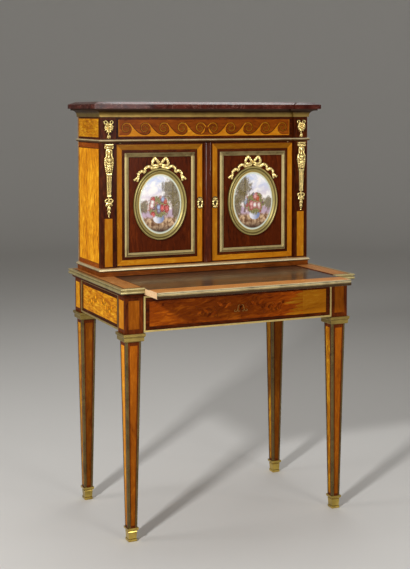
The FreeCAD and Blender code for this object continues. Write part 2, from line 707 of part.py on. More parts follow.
def case_path(name, foot, step):
    """The line round the sides and front of the cabinet, stepping back between the corner blocks."""
    corners = [(f"-{CASE_HALF}", TABLE_BACK), (f"-{CASE_HALF}", CASE_FRONT)]
    if step != "0":
        inner = f"{CASE_FRONT} + {step}"
        corners += [(f"-{CASE_IN}", CASE_FRONT), (f"-{CASE_IN}", inner), (CASE_IN, inner),
                    (CASE_IN, CASE_FRONT)]
    corners += [(CASE_HALF, CASE_FRONT), (CASE_HALF, TABLE_BACK)]
    return draw(plane_sketch(f"{name}_path", ((1, 0, 0), (0, 1, 0)), ("0", "0", foot)), corners, closed=False)


def case_moulding(name, foot, step, profile):
    section = plane_sketch(f"{name}_profile", ((-1, 0, 0), (0, 0, 1)), (f"-{CASE_HALF}", TABLE_BACK, foot))
    return name_node(moulding(f"{name}_sweep", draw(section, profile), case_path(name, foot, step)), name)


def half_round(radius, reach):
    """A round nose on a flat foot of the same height."""
    return [("0", "0"), (reach, "0", reach, radius), (f"{reach} + {radius}", radius, reach, radius),
            (reach, f"2 * {radius}"), ("0", f"2 * {radius}")]


def make_case():
    """Plinth, carcass boards, pilasters and frieze."""
    across = (f"-{CASE_HALF}", CASE_HALF)
    depth = (CASE_FRONT, TABLE_BACK)
    name_node(board("plinth_board", (f"-{CASE_HALF} - plinth_reach", f"{CASE_HALF} + plinth_reach"),
                    (f"{CASE_FRONT} - plinth_reach", TABLE_BACK), (DESK, PLINTH_TOP)), "cabinet_plinth")
    floor = board("floor_board", across, depth, (PLINTH_TOP, CASE_FLOOR))
    wells = pivot_wells("low", (f"{CASE_FLOOR} - pivot_well", CASE_FLOOR))
    name_node(cut("bottom_with_wells", floor, wells), "cabinet_bottom")
    back = board("back_board", across, (CASE_PANEL, TABLE_BACK), (CASE_FLOOR, TOP_BOARD_LOW))
    name_node(back, "cabinet_back")
    top = board("top_board_box", across, (CASE_BEHIND, TABLE_BACK), (TOP_BOARD_LOW, MARBLE_LOW))
    name_node(top, "cabinet_top")
    shelf_depth = (f"{CASE_BEHIND} + shelf_setback", CASE_PANEL)
    shelf_half = f"{CASE_HALF} - side_thick + shelf_housing"
    shelf = board("shelf_board", (f"-({shelf_half})", shelf_half), shelf_depth,
                  (SHELF_LOW, f"{SHELF_LOW} + shelf_thick"))
    name_node(shelf, "shelf")
    for hand, sign in HANDS.items():
        side = board(f"side_board_{hand}", sided(sign, f"{CASE_HALF} - side_thick", CASE_HALF),
                     (CASE_BEHIND, CASE_PANEL), (CASE_FLOOR, TOP_BOARD_LOW))
        name_node(cut(f"side_housed_{hand}", side, [shelf]), f"cabinet_side_{hand}")
        name_node(board(f"pilaster_board_{hand}", sided(sign, CASE_IN, CASE_HALF), (CASE_FRONT, CASE_BEHIND),
                        (CASE_FLOOR, MARBLE_LOW)), f"pilaster_{hand}")
    make_frieze()


def pivot_wells(end, height):
    """The two round wells that the pivot pins of the doors turn in."""
    bore = "pivot_radius + pivot_play"
    return [pin(f"pivot_well_{end}_{hand}", f"{sign} * {PIVOT_X}", PIVOT_Y, height, bore)
            for hand, sign in HANDS.items()]


def make_frieze():
    """The frieze board with the door head below it, in one stepped section, drilled for the upper pivots."""
    board_body = doc.addObject("PartDesign::Body", "frieze_board")
    head, face = f"{CASE_FRONT} + head_setback", f"{CASE_FRONT} + ressaut"
    corners = [(head, HEAD_LOW), (CASE_BEHIND, HEAD_LOW), (CASE_BEHIND, MARBLE_LOW), (face, MARBLE_LOW),
               (face, FRIEZE_LOW), (head, FRIEZE_LOW)]
    pad(board_body, "frieze_section", "YZ_Plane", f"-{CASE_IN}", corners, f"2 * {CASE_IN}")
    wells = pivot_wells("high", (HEAD_LOW, f"{HEAD_LOW} + pivot_well"))
    name_node(cut("frieze_with_wells", board_body, wells), "frieze")


def make_case_mouldings():
    case_moulding("base_string", PLINTH_TOP, "0", half_round("base_string_radius", "base_string_reach"))
    case_moulding("frieze_string", f"{HEAD_LOW} + head_height / 2 - frieze_string_radius", "head_setback",
                  half_round("frieze_string_radius", "frieze_string_reach"))
    rise = "(cornice_height - cornice_lip - cornice_foot)"
    hollow = f"(cornice_foot + {rise})"
    cornice = [("0", "0"), ("cornice_foot", "0"), ("cornice_foot", "cornice_foot", hollow, "cornice_foot"),
               (hollow, hollow), ("cornice_reach", hollow), ("cornice_reach", "cornice_height"),
               ("0", "cornice_height")]
    case_moulding("cornice", CORNICE_LOW, "ressaut", cornice)


def marble_outline(inset):
    """The slab's outline with blocks breaking forward at the corners, drawn in all round by the inset."""
    half = f"({CASE_HALF} + marble_side - ({inset}))"
    inner = f"({CASE_IN} - marble_side / 2 + ({inset}))"
    front = f"({CASE_FRONT} - marble_front + ({inset}))"
    recess = f"({front} + ressaut)"
    back = f"({CORE_BACK} - ({inset}))"
    return [(f"-{half}", back), (f"-{half}", front), (f"-{inner}", front), (f"-{inner}", recess),
            (inner, recess), (inner, front), (half, front), (half, back)]


def make_marble():
    """A slab with an upright edge and a broad low bevel above it."""
    slab = doc.addObject("PartDesign::Body", "marble_top")
    shoulder = f"{MARBLE_LOW} + marble_thick - marble_bevel_height"
    stacked(slab, "marble_loft", [(MARBLE_LOW, marble_outline("0")), (shoulder, marble_outline("0")),
                                  (f"{MARBLE_LOW} + marble_thick", marble_outline("marble_bevel"))])
    name_node(slab, "marble_top")


def cast_mount(name, mid_x, top, height, width, depth, ring_shares):
    """A cast mount lofted down the face of a pilaster through rings of its own width and depth."""
    body = doc.addObject("PartDesign::Body", name)
    rings = []
    for fall_share, width_share, depth_share in ring_shares:
        half = f"({width} / 2 * {width_share})"
        out = f"({CASE_FRONT} - {depth} * {depth_share})"
        waist = f"({CASE_FRONT} - {depth} * {depth_share} * {RING_CANT_SHARE})"
        corners = [(f"{mid_x} - {half}", CASE_FRONT), (f"{mid_x} - {half}", waist),
                   (f"{mid_x} - {half} * {RING_FRONT_SHARE}", out),
                   (f"{mid_x} + {half} * {RING_FRONT_SHARE}", out),
                   (f"{mid_x} + {half}", waist), (f"{mid_x} + {half}", CASE_FRONT)]
        rings.append((f"{top} - {height} * {fall_share}", corners))
    stacked(body, f"{name}_loft", rings)
    return body


def make_chute(hand, mid_x):
    """A term: a capital with volutes over a head, draped shoulders, a fluted sheath and a drop of leaves."""
    top = DOOR_HIGH
    trunk = cast_mount(f"chute_trunk_{hand}", mid_x, top, "chute_height", "chute_width", "chute_depth",
                       CHUTE_RING_SHARES)
    half = "chute_width / 2"
    face = f"{CASE_FRONT} - chute_depth + volute_radius"
    abacus = board(f"abacus_{hand}", (f"{mid_x} - {half}", f"{mid_x} + {half}"), (face, CASE_FRONT),
                   (f"{top} - capital_height", top))
    head = doc.addObject("Part::Ellipsoid", f"chute_head_{hand}")
    bind(head, "Radius1", "chute_head / 2")
    bind(head, "Radius2", f"{half} / 2")
    bind(head, "Radius3", f"{half} / 2")
    middle = (mid_x, f"{CASE_FRONT} - chute_depth / 2", f"{top} - chute_height * {CHUTE_HEAD_SHARE}")
    for axis, expression in zip("xyz", middle):
        bind(head, f"Placement.Base.{axis}", expression)
    scrolls = []
    flutes = []
    for side, way in HANDS.items():
        scroll = doc.addObject("Part::Cylinder", f"volute_{hand}_{side}")
        bind(scroll, "Radius", "volute_radius")
        bind(scroll, "Height", "chute_depth - volute_radius")
        scroll.Placement.Rotation = FreeCAD.Rotation(FreeCAD.Vector(1, 0, 0), 90)
        spot = (f"{mid_x} + {way} * ({half} - volute_radius)", CASE_FRONT,
                f"{top} - capital_height - volute_radius / 2")
        for axis, expression in zip("xyz", spot):
            bind(scroll, f"Placement.Base.{axis}", expression)
        scrolls.append(scroll)
        flute_mid = f"({mid_x} + {way} * {half} * {FLUTE_PLACE_SHARE})"
        sheath = f"({CASE_FRONT} - chute_depth * {SHEATH_DEPTH_SHARE})"
        flutes.append(board(
            f"flute_{hand}_{side}", (f"{flute_mid} - flute_width / 2", f"{flute_mid} + flute_width / 2"),
            (f"{sheath} - flute_depth", f"{sheath} + flute_depth"),
            (f"{top} - chute_height * {SHEATH_FOOT_SHARE}", f"{top} - chute_height * {SHEATH_TOP_SHARE}")))
    return cut(f"chute_{hand}", fused(f"chute_cast_{hand}", [trunk, abacus, head] + scrolls), flutes)


def make_corner_mounts():
    """A long chute on each pilaster and a small mount on the block above it."""
    mounts = []
    for hand, sign in HANDS.items():
        mid_x = f"({sign} * ({CASE_HALF} - pilaster_width / 2))"
        mounts.append(make_chute(hand, mid_x))
        mounts.append(cast_mount(f"frieze_mount_{hand}", mid_x, f"{FRIEZE_LOW} + mount_low + mount_height",
                                 "mount_height", "mount_width", "mount_depth", MOUNT_RING_SHARES))
    name_node(group("mount_set", mounts), "corner_mounts")


def make_door(hand, sign):
    """A door with a sunk field, its pivots and lock, and the brass, bronze and porcelain on it."""
    meeting = LEFT_MEETING if hand == "left" else f"-{MEETING}"
    width = sided(sign, meeting, DOOR_EDGE)
    mid_x, key_x = f"({sign} * {FIELD_MID})", f"({sign} * {KEY_X})"
    field = rectangle(f"{mid_x} - {FIELD_HALF}", f"{mid_x} + {FIELD_HALF}",
                      f"{DOOR_MID} - {FIELD_HALF_HEIGHT}", f"{DOOR_MID} + {FIELD_HALF_HEIGHT}")
    leaf = doc.addObject("PartDesign::Body", f"door_leaf_{hand}")
    pad(leaf, f"door_board_{hand}", "XZ_Plane", f"-{DOOR_BACK}", rectangle(*width, DOOR_LOW, DOOR_HIGH),
        "door_thick")
    pocket(leaf, f"door_field_{hand}", "XZ_Plane", f"-{DOOR_FRONT}", field, "field_depth")
    pocket(leaf, f"door_keyhole_{hand}", "XZ_Plane", f"-{DOOR_FRONT}", keyhole(key_x, DOOR_MID), "door_thick")
    pivots = make_pivots(hand, sign)
    name_node(cut(f"door_cut_{hand}", leaf, [pivots]), f"door_{hand}")
    name_node(pivots, f"door_{hand}_pivots")
    lock = lock_case(f"lock_{hand}", f"({sign} * (lock_width / 2 + {LEFT_MEETING}))", DOOR_MID, DOOR_BACK)
    plate = key_plate(f"key_plate_{hand}", key_x, DOOR_MID, DOOR_FRONT)
    name_node(group(f"lock_set_{hand}", [lock, plate]), f"door_{hand}_lock")
    make_door_frame(hand, mid_x)
    make_plaque(hand, mid_x)


def make_pivots(hand, sign):
    """Plates let into the ends of a door, each with a pin standing out of it."""
    plates = []
    inner_low, inner_high = f"{DOOR_LOW} + pivot_plate_thick", f"{DOOR_HIGH} - pivot_plate_thick"
    outer = f"{PIVOT_X} + pivot_plate_width / 2"
    reach = sided(sign, f"{outer} - pivot_plate_length", outer)
    depth = (f"{PIVOT_Y} - pivot_plate_width / 2", f"{PIVOT_Y} + pivot_plate_width / 2")
    for end, height, rise in (("low", (DOOR_LOW, inner_low), (f"{DOOR_LOW} - pivot_length", inner_low)),
                              ("high", (inner_high, DOOR_HIGH), (inner_high, f"{DOOR_HIGH} + pivot_length"))):
        plate = board(f"pivot_plate_{hand}_{end}", reach, depth, height)
        post = pin(f"pivot_pin_{hand}_{end}", f"{sign} * {PIVOT_X}", PIVOT_Y, rise, "pivot_radius")
        plates.append(fused(f"pivot_{hand}_{end}", [plate, post]))
    return group(f"pivots_{hand}", plates)


def make_door_frame(hand, mid_x):
    """The brass moulding round the field of a door: a torus between two fillets."""
    low, high = f"{DOOR_MID} - {FIELD_HALF_HEIGHT}", f"{DOOR_MID} + {FIELD_HALF_HEIGHT}"
    left, right = f"{mid_x} - {FIELD_HALF}", f"{mid_x} + {FIELD_HALF}"
    path = draw(plane_sketch(f"door_frame_path_{hand}", ((1, 0, 0), (0, 0, 1)), ("0", DOOR_FRONT, "0")),
                [(mid_x, low), (right, low), (right, high), (left, high), (left, low)])
    section = plane_sketch(f"door_frame_profile_{hand}", ((0, 0, -1), (0, -1, 0)), (mid_x, DOOR_FRONT, low))
    round_in = f"(frame_width * {FRAME_SIDE_SHARE})"
    round_out = f"(frame_width - {round_in})"
    crown = f"(frame_proud - {round_in})"
    edge = f"({crown} * {FRAME_EDGE_SHARE})"
    middle = "(frame_width / 2)"
    draw(section, [("0", "0"), ("frame_width", "0"), ("frame_width", edge), (round_out, crown, middle, crown),
                   (middle, "frame_proud", middle, crown), (round_in, crown), ("0", edge)])
    name_node(moulding(f"door_frame_{hand}", section, path), f"door_{hand}_moulding")


def upright(half_width, half_height):
    return value(half_height) >= value(half_width)


def ellipse_ring(name, half_width, half_height, mid_x, mid_z, face):
    """An ellipse on a plane facing the front, drawn from an end of its long axis, the top where upright."""
    ellipse = doc.addObject("Part::Ellipse", name)
    halves = [half_width, half_height]
    axes = [FreeCAD.Vector(1, 0, 0), FreeCAD.Vector(0, 0, 1)]
    if upright(half_width, half_height):
        halves.reverse()
        axes.reverse()
    bind(ellipse, "MajorRadius", halves[0])
    bind(ellipse, "MinorRadius", halves[1])
    ellipse.Placement.Rotation = FreeCAD.Rotation(axes[0], axes[1], axes[0].cross(axes[1]), "XYZ")
    for axis, expression in zip("xyz", (mid_x, face, mid_z)):
        bind(ellipse, f"Placement.Base.{axis}", expression)
    return ellipse


def make_plaque(hand, mid_x):
    """An oval porcelain plaque in a moulded bronze frame that is tied with a ribbon bow."""
    ring = ellipse_ring(f"oval_path_{hand}", PLAQUE_HALF, PLAQUE_HALF_HEIGHT, mid_x, DOOR_MID, FIELD_FACE)
    outward, start = (1, 0, 0), (f"{mid_x} + {PLAQUE_HALF}", FIELD_FACE, DOOR_MID)
    if upright(PLAQUE_HALF, PLAQUE_HALF_HEIGHT):
        outward, start = (0, 0, 1), (mid_x, FIELD_FACE, f"{DOOR_MID} + {PLAQUE_HALF_HEIGHT}")
    section = plane_sketch(f"oval_profile_{hand}", (outward, (0, -1, 0)), start)
    bead_mid, bead_in = "(oval_width - oval_bead)", "(oval_width - 2 * oval_bead)"
    flat = "(oval_proud - oval_bead)"
    pearl_top = "(oval_proud - oval_pearl_drop)"
    pearl_flat = f"({pearl_top} - oval_pearl)"
    draw(section, [("0", "0"), ("oval_width", "0"), ("oval_width", flat, bead_mid, flat),
                   (bead_mid, "oval_proud", bead_mid, flat), (bead_in, flat), (bead_in, "oval_floor"),
                   ("2 * oval_pearl", "oval_floor"), ("2 * oval_pearl", pearl_flat, "oval_pearl", pearl_flat),
                   ("oval_pearl", pearl_top, "oval_pearl", pearl_flat), ("0", pearl_flat)])
    frame = moulding(f"oval_frame_{hand}", section, ring)
    name_node(group(f"oval_set_{hand}", [frame, make_bow(hand, mid_x)]), f"door_{hand}_oval_frame")
    outline = ellipse_ring(f"plaque_outline_{hand}", f"{PLAQUE_HALF} - plaque_gap",
                           f"{PLAQUE_HALF_HEIGHT} - plaque_gap", mid_x, DOOR_MID, FIELD_FACE)
    plaque = doc.addObject("Part::Extrusion", f"plaque_{hand}")
    plaque.Base = outline
    plaque.DirMode = "Custom"
    plaque.Dir = FreeCAD.Vector(0, -1, 0)
    bind(plaque, "LengthFwd", "plaque_thick")
    plaque.Solid = True
    doc.recompute()
    crowned = doc.addObject("Part::Fillet", f"plaque_crowned_{hand}")
    crowned.Base = plaque
    rim = value("plaque_rim")
    front = min(range(len(plaque.Shape.Edges)), key=lambda index: plaque.Shape.Edges[index].CenterOfMass.y)
    crowned.Edges = [(front + 1, rim, rim)]
    name_node(crowned, f"door_{hand}_plaque")


def make_bow(hand, mid_x):
    """A ribbon bow above the oval: two open loops on a knot and two tails rippling down its shoulders."""
    knot_z = f"({DOOR_MID} + {PLAQUE_HALF_HEIGHT} + oval_width + bow_lift)"
    pieces = []
    for side, way in HANDS.items():
        for part, shares, fall, closed in (("loop", BOW_LOOP_SHARES, "bow_rise", True),
                                           ("tail", BOW_TAIL_SHARES, "bow_drop", False)):
            name = f"bow_{part}_{hand}_{side}"
            places = [(f"{mid_x} + {way} * bow_span * {span_share}", f"{knot_z} + {fall} * {fall_share}")
                      for span_share, fall_share in shares]
            path = plane_sketch(f"{name}_path", ((1, 0, 0), (0, 0, 1)), ("0", FIELD_FACE, "0"))
            draw(path, places, closed)
            start_x, start_z = places[0]
            section = plane_sketch(f"{name}_section", ((0, 0, 1), (0, -1, 0)), (start_x, FIELD_FACE, start_z))
            draw(section, rectangle("-bow_ribbon / 2", "bow_ribbon / 2", "0", "bow_thick"))
            pieces.append(moulding(name, section, path, "Round corner"))
    knot = doc.addObject("Part::Sphere", f"bow_knot_{hand}")
    bind(knot, "Radius", "bow_knot")
    for axis, expression in zip("xyz", (mid_x, f"{FIELD_FACE} - bow_knot", knot_z)):
        bind(knot, f"Placement.Base.{axis}", expression)
    return fused(f"bow_{hand}", pieces + [knot])


def make_battement():
    """The half-round bead on the meeting edge of the right door."""
    bead = doc.addObject("PartDesign::Body", "battement")
    flat = f"({MEETING} - battement_proud)"
    face, nose = DOOR_FRONT, f"({DOOR_FRONT} - battement_proud)"
    corners = [(f"-{MEETING}", face), (MEETING, face, flat, face), (flat, nose),
               (f"-{flat}", nose, f"-{flat}", face)]
    pad(bead, "battement_bar", "XY_Plane", DOOR_LOW, corners, "door_height")
    name_node(bead, "door_battement")


def check_and_write():
    """Stops on any failed feature or bad solid, then writes one file for each sub-part."""
    doc.recompute()
    failed = [item.Name for item in doc.Objects if {"Invalid", "Error"} & set(item.State)]
    bad = [item.Label for item in nodes if item.Shape.isNull() or not item.Shape.isValid()]
    if failed or bad:
        raise RuntimeError(f"failed features {failed}, bad solids {bad}")
    os.makedirs("parts", exist_ok=True)
    for item in nodes:
        item.Shape.exportStep(f"parts/{item.Label}.step")
    print(len(nodes), "sub-parts written")


fill_sheet()
make_legs()
make_apron()
make_runners()
make_drawer()
make_desk_top()
make_slide()
make_case()
make_case_mouldings()
make_marble()
make_corner_mounts()
for door_hand, door_sign in HANDS.items():
    make_door(door_hand, door_sign)
make_battement()
check_and_write()
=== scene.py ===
"""Looks of a lady's writing desk: veneers and inlay, brass, gilt bronze, marble, leather and painted porcelain."""
import math

import bmesh
import bpy
import numpy as np
from mathutils import Matrix, Vector


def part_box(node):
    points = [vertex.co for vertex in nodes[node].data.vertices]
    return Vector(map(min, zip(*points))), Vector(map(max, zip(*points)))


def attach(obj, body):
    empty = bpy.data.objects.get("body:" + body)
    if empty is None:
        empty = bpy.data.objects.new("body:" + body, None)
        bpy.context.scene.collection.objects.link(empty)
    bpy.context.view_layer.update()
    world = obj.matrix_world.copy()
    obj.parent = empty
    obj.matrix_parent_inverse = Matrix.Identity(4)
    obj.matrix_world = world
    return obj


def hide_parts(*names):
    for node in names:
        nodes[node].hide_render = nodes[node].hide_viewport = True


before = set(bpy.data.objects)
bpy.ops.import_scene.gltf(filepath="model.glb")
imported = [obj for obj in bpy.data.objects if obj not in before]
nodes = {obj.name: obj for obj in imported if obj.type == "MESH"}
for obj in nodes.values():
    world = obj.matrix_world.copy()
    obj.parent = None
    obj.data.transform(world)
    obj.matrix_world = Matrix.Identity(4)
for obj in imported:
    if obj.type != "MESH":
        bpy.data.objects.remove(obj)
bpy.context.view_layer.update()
MM = 0.001
HANDS = {"left": -1, "right": 1}


# Short calls for building node trees
def add(tree, kind, inputs=None, **settings):
    """A new node; each input is a plain value or what feeds it."""
    node = tree.nodes.new(kind)
    for name, setting in settings.items():
        setattr(node, name, setting)
    for name, source in (inputs or {}).items():
        source = source.socket if isinstance(source, Wire) else source
        if isinstance(source, bpy.types.NodeSocket):
            tree.links.new(source, node.inputs[name])
        else:
            node.inputs[name].default_value = source
    return node


class Wire:
    """What a node puts out, so that sums of values read as sums. Each step adds a node to the same tree."""

    def __init__(self, socket):
        self.socket, self.tree = socket, socket.id_data

    def maths(self, operation, *terms):
        return Wire(add(self.tree, "ShaderNodeMath", dict(enumerate((self, *terms))), operation=operation).outputs[0])

    def __add__(self, term):
        return self.maths("ADD", term)

    def __sub__(self, term):
        return self.maths("SUBTRACT", term)

    def __mul__(self, term):
        return self.maths("MULTIPLY", term)

    def __abs__(self):
        return self.maths("ABSOLUTE")

    def vector(self, operation, term):
        return Wire(add(self.tree, "ShaderNodeVectorMath", {0: self, 1: term}, operation=operation).outputs[0])

    def parts(self):
        return [Wire(socket) for socket in add(self.tree, "ShaderNodeSeparateXYZ", {0: self}).outputs]

    def spread(self, low, high, to_low=0.0, to_high=1.0):
        """The value taken smoothly from one range to another and held at its ends."""
        ends = {"Value": self, "From Min": low, "From Max": high, "To Min": to_low, "To Max": to_high}
        return Wire(add(self.tree, "ShaderNodeMapRange", ends, interpolation_type="SMOOTHSTEP").outputs[0])

    def blend(self, first, second, kind="MIX"):
        """One colour where the value is 0 and the other where it is 1."""
        mix = add(self.tree, "ShaderNodeMix", {0: self, 6: first, 7: second}, data_type="RGBA", blend_type=kind)
        return Wire(mix.outputs[2])

    def clouds(self, scale, detail=3.0, roughness=0.5, warp=0.0):
        """Noise at the place, finer along the axes with the larger scale."""
        return Wire(add(self.tree, "ShaderNodeTexNoise", {
            "Vector": self.vector("MULTIPLY", scale), "Scale": 1.0, "Detail": detail, "Roughness": roughness,
            "Distortion": warp}).outputs[0])


def colour(red, green, blue):
    """A colour written as it looks, 0 to 255, as the shader's linear values."""
    parts = [part / 255 for part in (red, green, blue)]
    return tuple(part / 12.92 if part <= 0.04045 else ((part + 0.055) / 1.055) ** 2.4 for part in parts) + (1.0,)


FINISH = ("Color", "Roughness", "Height")
SOCKET_KINDS = {"Place": "NodeSocketVector"}
SOCKET_KINDS.update(dict.fromkeys(("Light", "Middle", "Dark", "Bright", "Tarnish", "Color"), "NodeSocketColor"))


def new_group(name, *inputs):
    """A shader group with named inputs that puts out a finish: its inputs, and a call that feeds the finish."""
    tree = bpy.data.node_groups.new(name, "ShaderNodeTree")
    for way, names in (("INPUT", inputs), ("OUTPUT", FINISH)):
        for socket in names:
            kind = SOCKET_KINDS.get(socket, "NodeSocketFloat")
            tree.interface.new_socket(name=socket, in_out=way, socket_type=kind)
    given = {socket.name: Wire(socket) for socket in tree.nodes.new("NodeGroupInput").outputs}
    result = tree.nodes.new("NodeGroupOutput").inputs

    def finish(*wires):
        for wire, target in zip(wires, FINISH):
            tree.links.new(wire.socket, result[target])
        return tree

    return given, finish


def wood_group():
    """Swaying flame streaks along the grain, slow changes of tone, fibre and pores. Place has the grain along x."""
    given, finish = new_group("wood_figure", "Place", "Tone", "Light", "Middle", "Dark", "Flame", "Pores")
    place = given["Place"]
    sway = place.clouds((14.0, 22.0, 22.0), 2.0) * 0.03
    swayed = place.vector("ADD", add(place.tree, "ShaderNodeCombineXYZ", {1: sway, 2: sway}).outputs[0])
    flame = swayed.clouds((30.0, 165.0, 165.0), 2.0, 0.5, 0.4)
    broad = place.clouds((5.0, 18.0, 18.0), 2.0)
    fibre = swayed.clouds((26.0, 1300.0, 1300.0), 2.0)
    pore = place.clouds((130.0, 2400.0, 2400.0), 1.0).spread(0.60, 0.74)
    figure = (flame - 0.5) * given["Flame"] + (broad - 0.5) * 0.8 + (fibre - 0.5) * 0.35 + 0.5
    shade = figure.spread(0.12, 0.5).blend(given["Dark"], given["Middle"])
    shade = figure.spread(0.5, 0.88).blend(shade, given["Light"])
    shade = (pore * given["Pores"]).blend(shade, given["Dark"])
    toned = add(place.tree, "ShaderNodeVectorMath", {0: shade, "Scale": given["Tone"]}, operation="SCALE").outputs[0]
    return finish(Wire(toned), fibre * 0.2 + 0.2, fibre * 0.5 - pore)


def metal_group():
    """Polish that dulls in clouds, in the hollows and where shade is painted on, with fine grime and scratches."""
    given, finish = new_group("aged_metal", "Place", "Hollows_And_Painted_Shade", "Bright", "Tarnish", "Age", "Dull")
    place = given["Place"]
    grime = place.clouds((240.0, 240.0, 240.0))
    scratch = place.clouds((90.0, 1300.0, 700.0), 1.0)
    cloudy = place.clouds((26.0, 26.0, 26.0), 5.0, 0.6, 0.5).spread(0.35, 0.75) * given["Age"]
    dull = (grime.spread(0.5, 0.8) * 0.08 + cloudy + given["Hollows_And_Painted_Shade"]).maths("MINIMUM", 1.0)
    return finish(dull.blend(given["Bright"], given["Tarnish"]), scratch * 0.03 + dull * 0.2 + given["Dull"],
                  scratch * 0.35 + grime)


WOOD = wood_group()
METAL = metal_group()


def new_material(name, bump, distance, **constants):
    """A material with constants on its shader's own sockets: its tree, and a call that feeds it a finish."""
    material = bpy.data.materials.new(name)
    material.use_nodes = True
    tree = material.node_tree
    shader = tree.nodes["Principled BSDF"]
    for socket, setting in constants.items():
        shader.inputs[socket.replace("_", " ")].default_value = setting
    relief = add(tree, "ShaderNodeBump", {"Strength": bump, "Distance": distance * MM})
    tree.links.new(relief.outputs[0], shader.inputs["Normal"])

    def finish(*wires):
        for wire, target in zip(wires, (shader.inputs["Base Color"], shader.inputs["Roughness"],
                                        relief.inputs["Height"])):
            tree.links.new(wire.socket, target)
        return material

    return tree, finish


def on_object(tree):
    return Wire(add(tree, "ShaderNodeTexCoord").outputs["Object"])


def taken(tree, group, inputs):
    """The finish that a group gives for these inputs."""
    return [Wire(socket) for socket in add(tree, "ShaderNodeGroup", inputs, node_tree=group).outputs]


GRAINS = {"x": (0, 1, 2), "y": (1, 2, 0), "z": (2, 0, 1)}


def wood(name, light, middle, dark, flame, pores, grain, polish=0.02, gloss=0.15):
    """A polished wood. The grain runs along an axis, or as each leaf of veneer was laid."""
    tree, finish = new_material(name, 0.1, 0.25, Coat_Weight=polish, Coat_Roughness=gloss, Specular_IOR_Level=0.03)
    inputs = {"Light": colour(*light), "Middle": colour(*middle), "Dark": colour(*dark), "Flame": flame,
              "Pores": pores, "Tone": 1.0}
    if grain == "leaf":
        inputs["Place"] = add(tree, "ShaderNodeUVMap", uv_map="grain").outputs[0]
        inputs["Tone"] = add(tree, "ShaderNodeAttribute", attribute_name="tone").outputs["Fac"]
    else:
        parts = on_object(tree).parts()
        turned = {number: parts[axis] for number, axis in enumerate(GRAINS[grain])}
        inputs["Place"] = add(tree, "ShaderNodeCombineXYZ", turned).outputs[0]
    return finish(*taken(tree, WOOD, inputs))


def metal(name, bright, tarnish, hollow, age=0.3, metallic=0.65, dull=0.34, bump=0.003):
    """A lacquered metal that ages in clouds and in its hollows; on some mouldings that darkening is painted shade."""
    tree, finish = new_material(name, bump, 0.2, Metallic=metallic)
    place = on_object(tree)
    # hollow is real hollows on castings, and painted shade and dark lines on the plain mouldings
    return finish(*taken(tree, METAL, {"Place": place, "Hollows_And_Painted_Shade": hollow(place), "Bright": colour(*bright),
                                       "Tarnish": colour(*tarnish), "Age": age, "Dull": dull}))


def marked(place):
    """Hollows as they are marked on the points of a casting; a plain solid has none."""
    return Wire(add(place.tree, "ShaderNodeAttribute", attribute_name="hollow").outputs["Fac"])


def painted_moulding_shade(node, start, end, seam=None):
    """Painted shade on a moulding: darker from one depth below its top to the other, and a dark line at a seam."""
    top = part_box(node)[1].z

    def hollow(place):
        height = place.parts()[2]
        # painted shade: the underside of a lit string or moulding, or the top of the cornice under the marble
        deep = height.spread(top - start * MM, top - end * MM)
        if seam:
            # a painted dark reflection line along the seam
            line = abs(height - (top - seam * MM)).spread(1.5 * MM, 0.5 * MM, 0.0, 0.7)
            deep = deep.maths("MAXIMUM", line)
        return deep

    return hollow


def painted_frame_shade(node):
    """Painted shade on the frame of either door: along the middle of its moulding and on its upper length."""
    low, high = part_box(node)
    middle, half = (low + high) / 2, (high - low) / 2 - Vector((1, 1, 1)) * 5.6 * MM

    def hollow(place):
        across, _, up = place.parts()
        # a painted dark line along the middle of the moulding, between its lit edges
        beside = abs(abs(across) - abs(middle.x)) - half.x
        off = beside.maths("MAXIMUM", abs(up - middle.z) - half.z)
        # painted shade along the upper length of the moulding
        upper = up.spread(high.z - 14 * MM, high.z - 10 * MM, 0.0, 0.5)
        return abs(off).spread(1.8 * MM, 0.6 * MM, 0.0, 0.75).maths("MAXIMUM", upper)

    return hollow


def red_marble():
    """Dark red limestone with rounded paler flecks and a few thin veins, polished."""
    tree, finish = new_material("red_marble", 0.02, 0.1, Coat_Weight=0.18, Coat_Roughness=0.06, Specular_IOR_Level=0.02)
    place = on_object(tree)
    drift = place.clouds((18.0, 18.0, 18.0), 5.0, 0.6, 1.2)
    body = drift.spread(0.3, 0.7).blend(colour(48, 16, 11), colour(86, 36, 26))
    cells = add(tree, "ShaderNodeTexVoronoi", {"Vector": place, "Scale": 95.0, "Randomness": 1.0}).outputs
    fleck = Wire(cells["Distance"]).spread(0.42, 0.12) * drift.spread(0.42, 0.62)
    body = (fleck * 0.5).blend(body, colour(128, 74, 60))
    vein = abs(place.clouds((9.0, 9.0, 16.0), 6.0, 0.6, 2.0) - 0.5).spread(0.01, 0.0)
    body = (vein * 0.4).blend(body, colour(176, 132, 118))
    return finish(body, drift.spread(0.2, 0.8, 0.14, 0.24), drift)


def desk_leather():
    """Brown hide with a fine pebble, rubbed paler in patches and waxed."""
    tree, finish = new_material("desk_leather", 0.06, 0.2, Coat_Weight=0.45, Coat_Roughness=0.13)
    place = on_object(tree)
    rubbed = place.clouds((9.0, 12.0, 9.0), 5.0, 0.6, 0.6)
    pebble = Wire(add(tree, "ShaderNodeTexVoronoi", {"Vector": place, "Scale": 700.0}).outputs["Distance"])
    hide = rubbed.spread(0.3, 0.75).blend(colour(58, 45, 36), colour(96, 74, 55))
    hide = (pebble * 0.35).blend(hide, colour(52, 36, 26))
    return finish(hide, rubbed.spread(0.25, 0.75, 0.42, 0.27), pebble)


def oval_mask(across, up, middle, half, ragged, amount, soft=0.06):
    """1 inside a ragged oval of the picture, 0 outside, with a soft edge between."""
    across, up = (across - middle[0]) * (1 / half[0]), (up - middle[1]) * (1 / half[1])
    span = (across * across + up * up).maths("SQRT") + (ragged - 0.5) * amount
    return span.spread(1 + soft, 1 - soft)


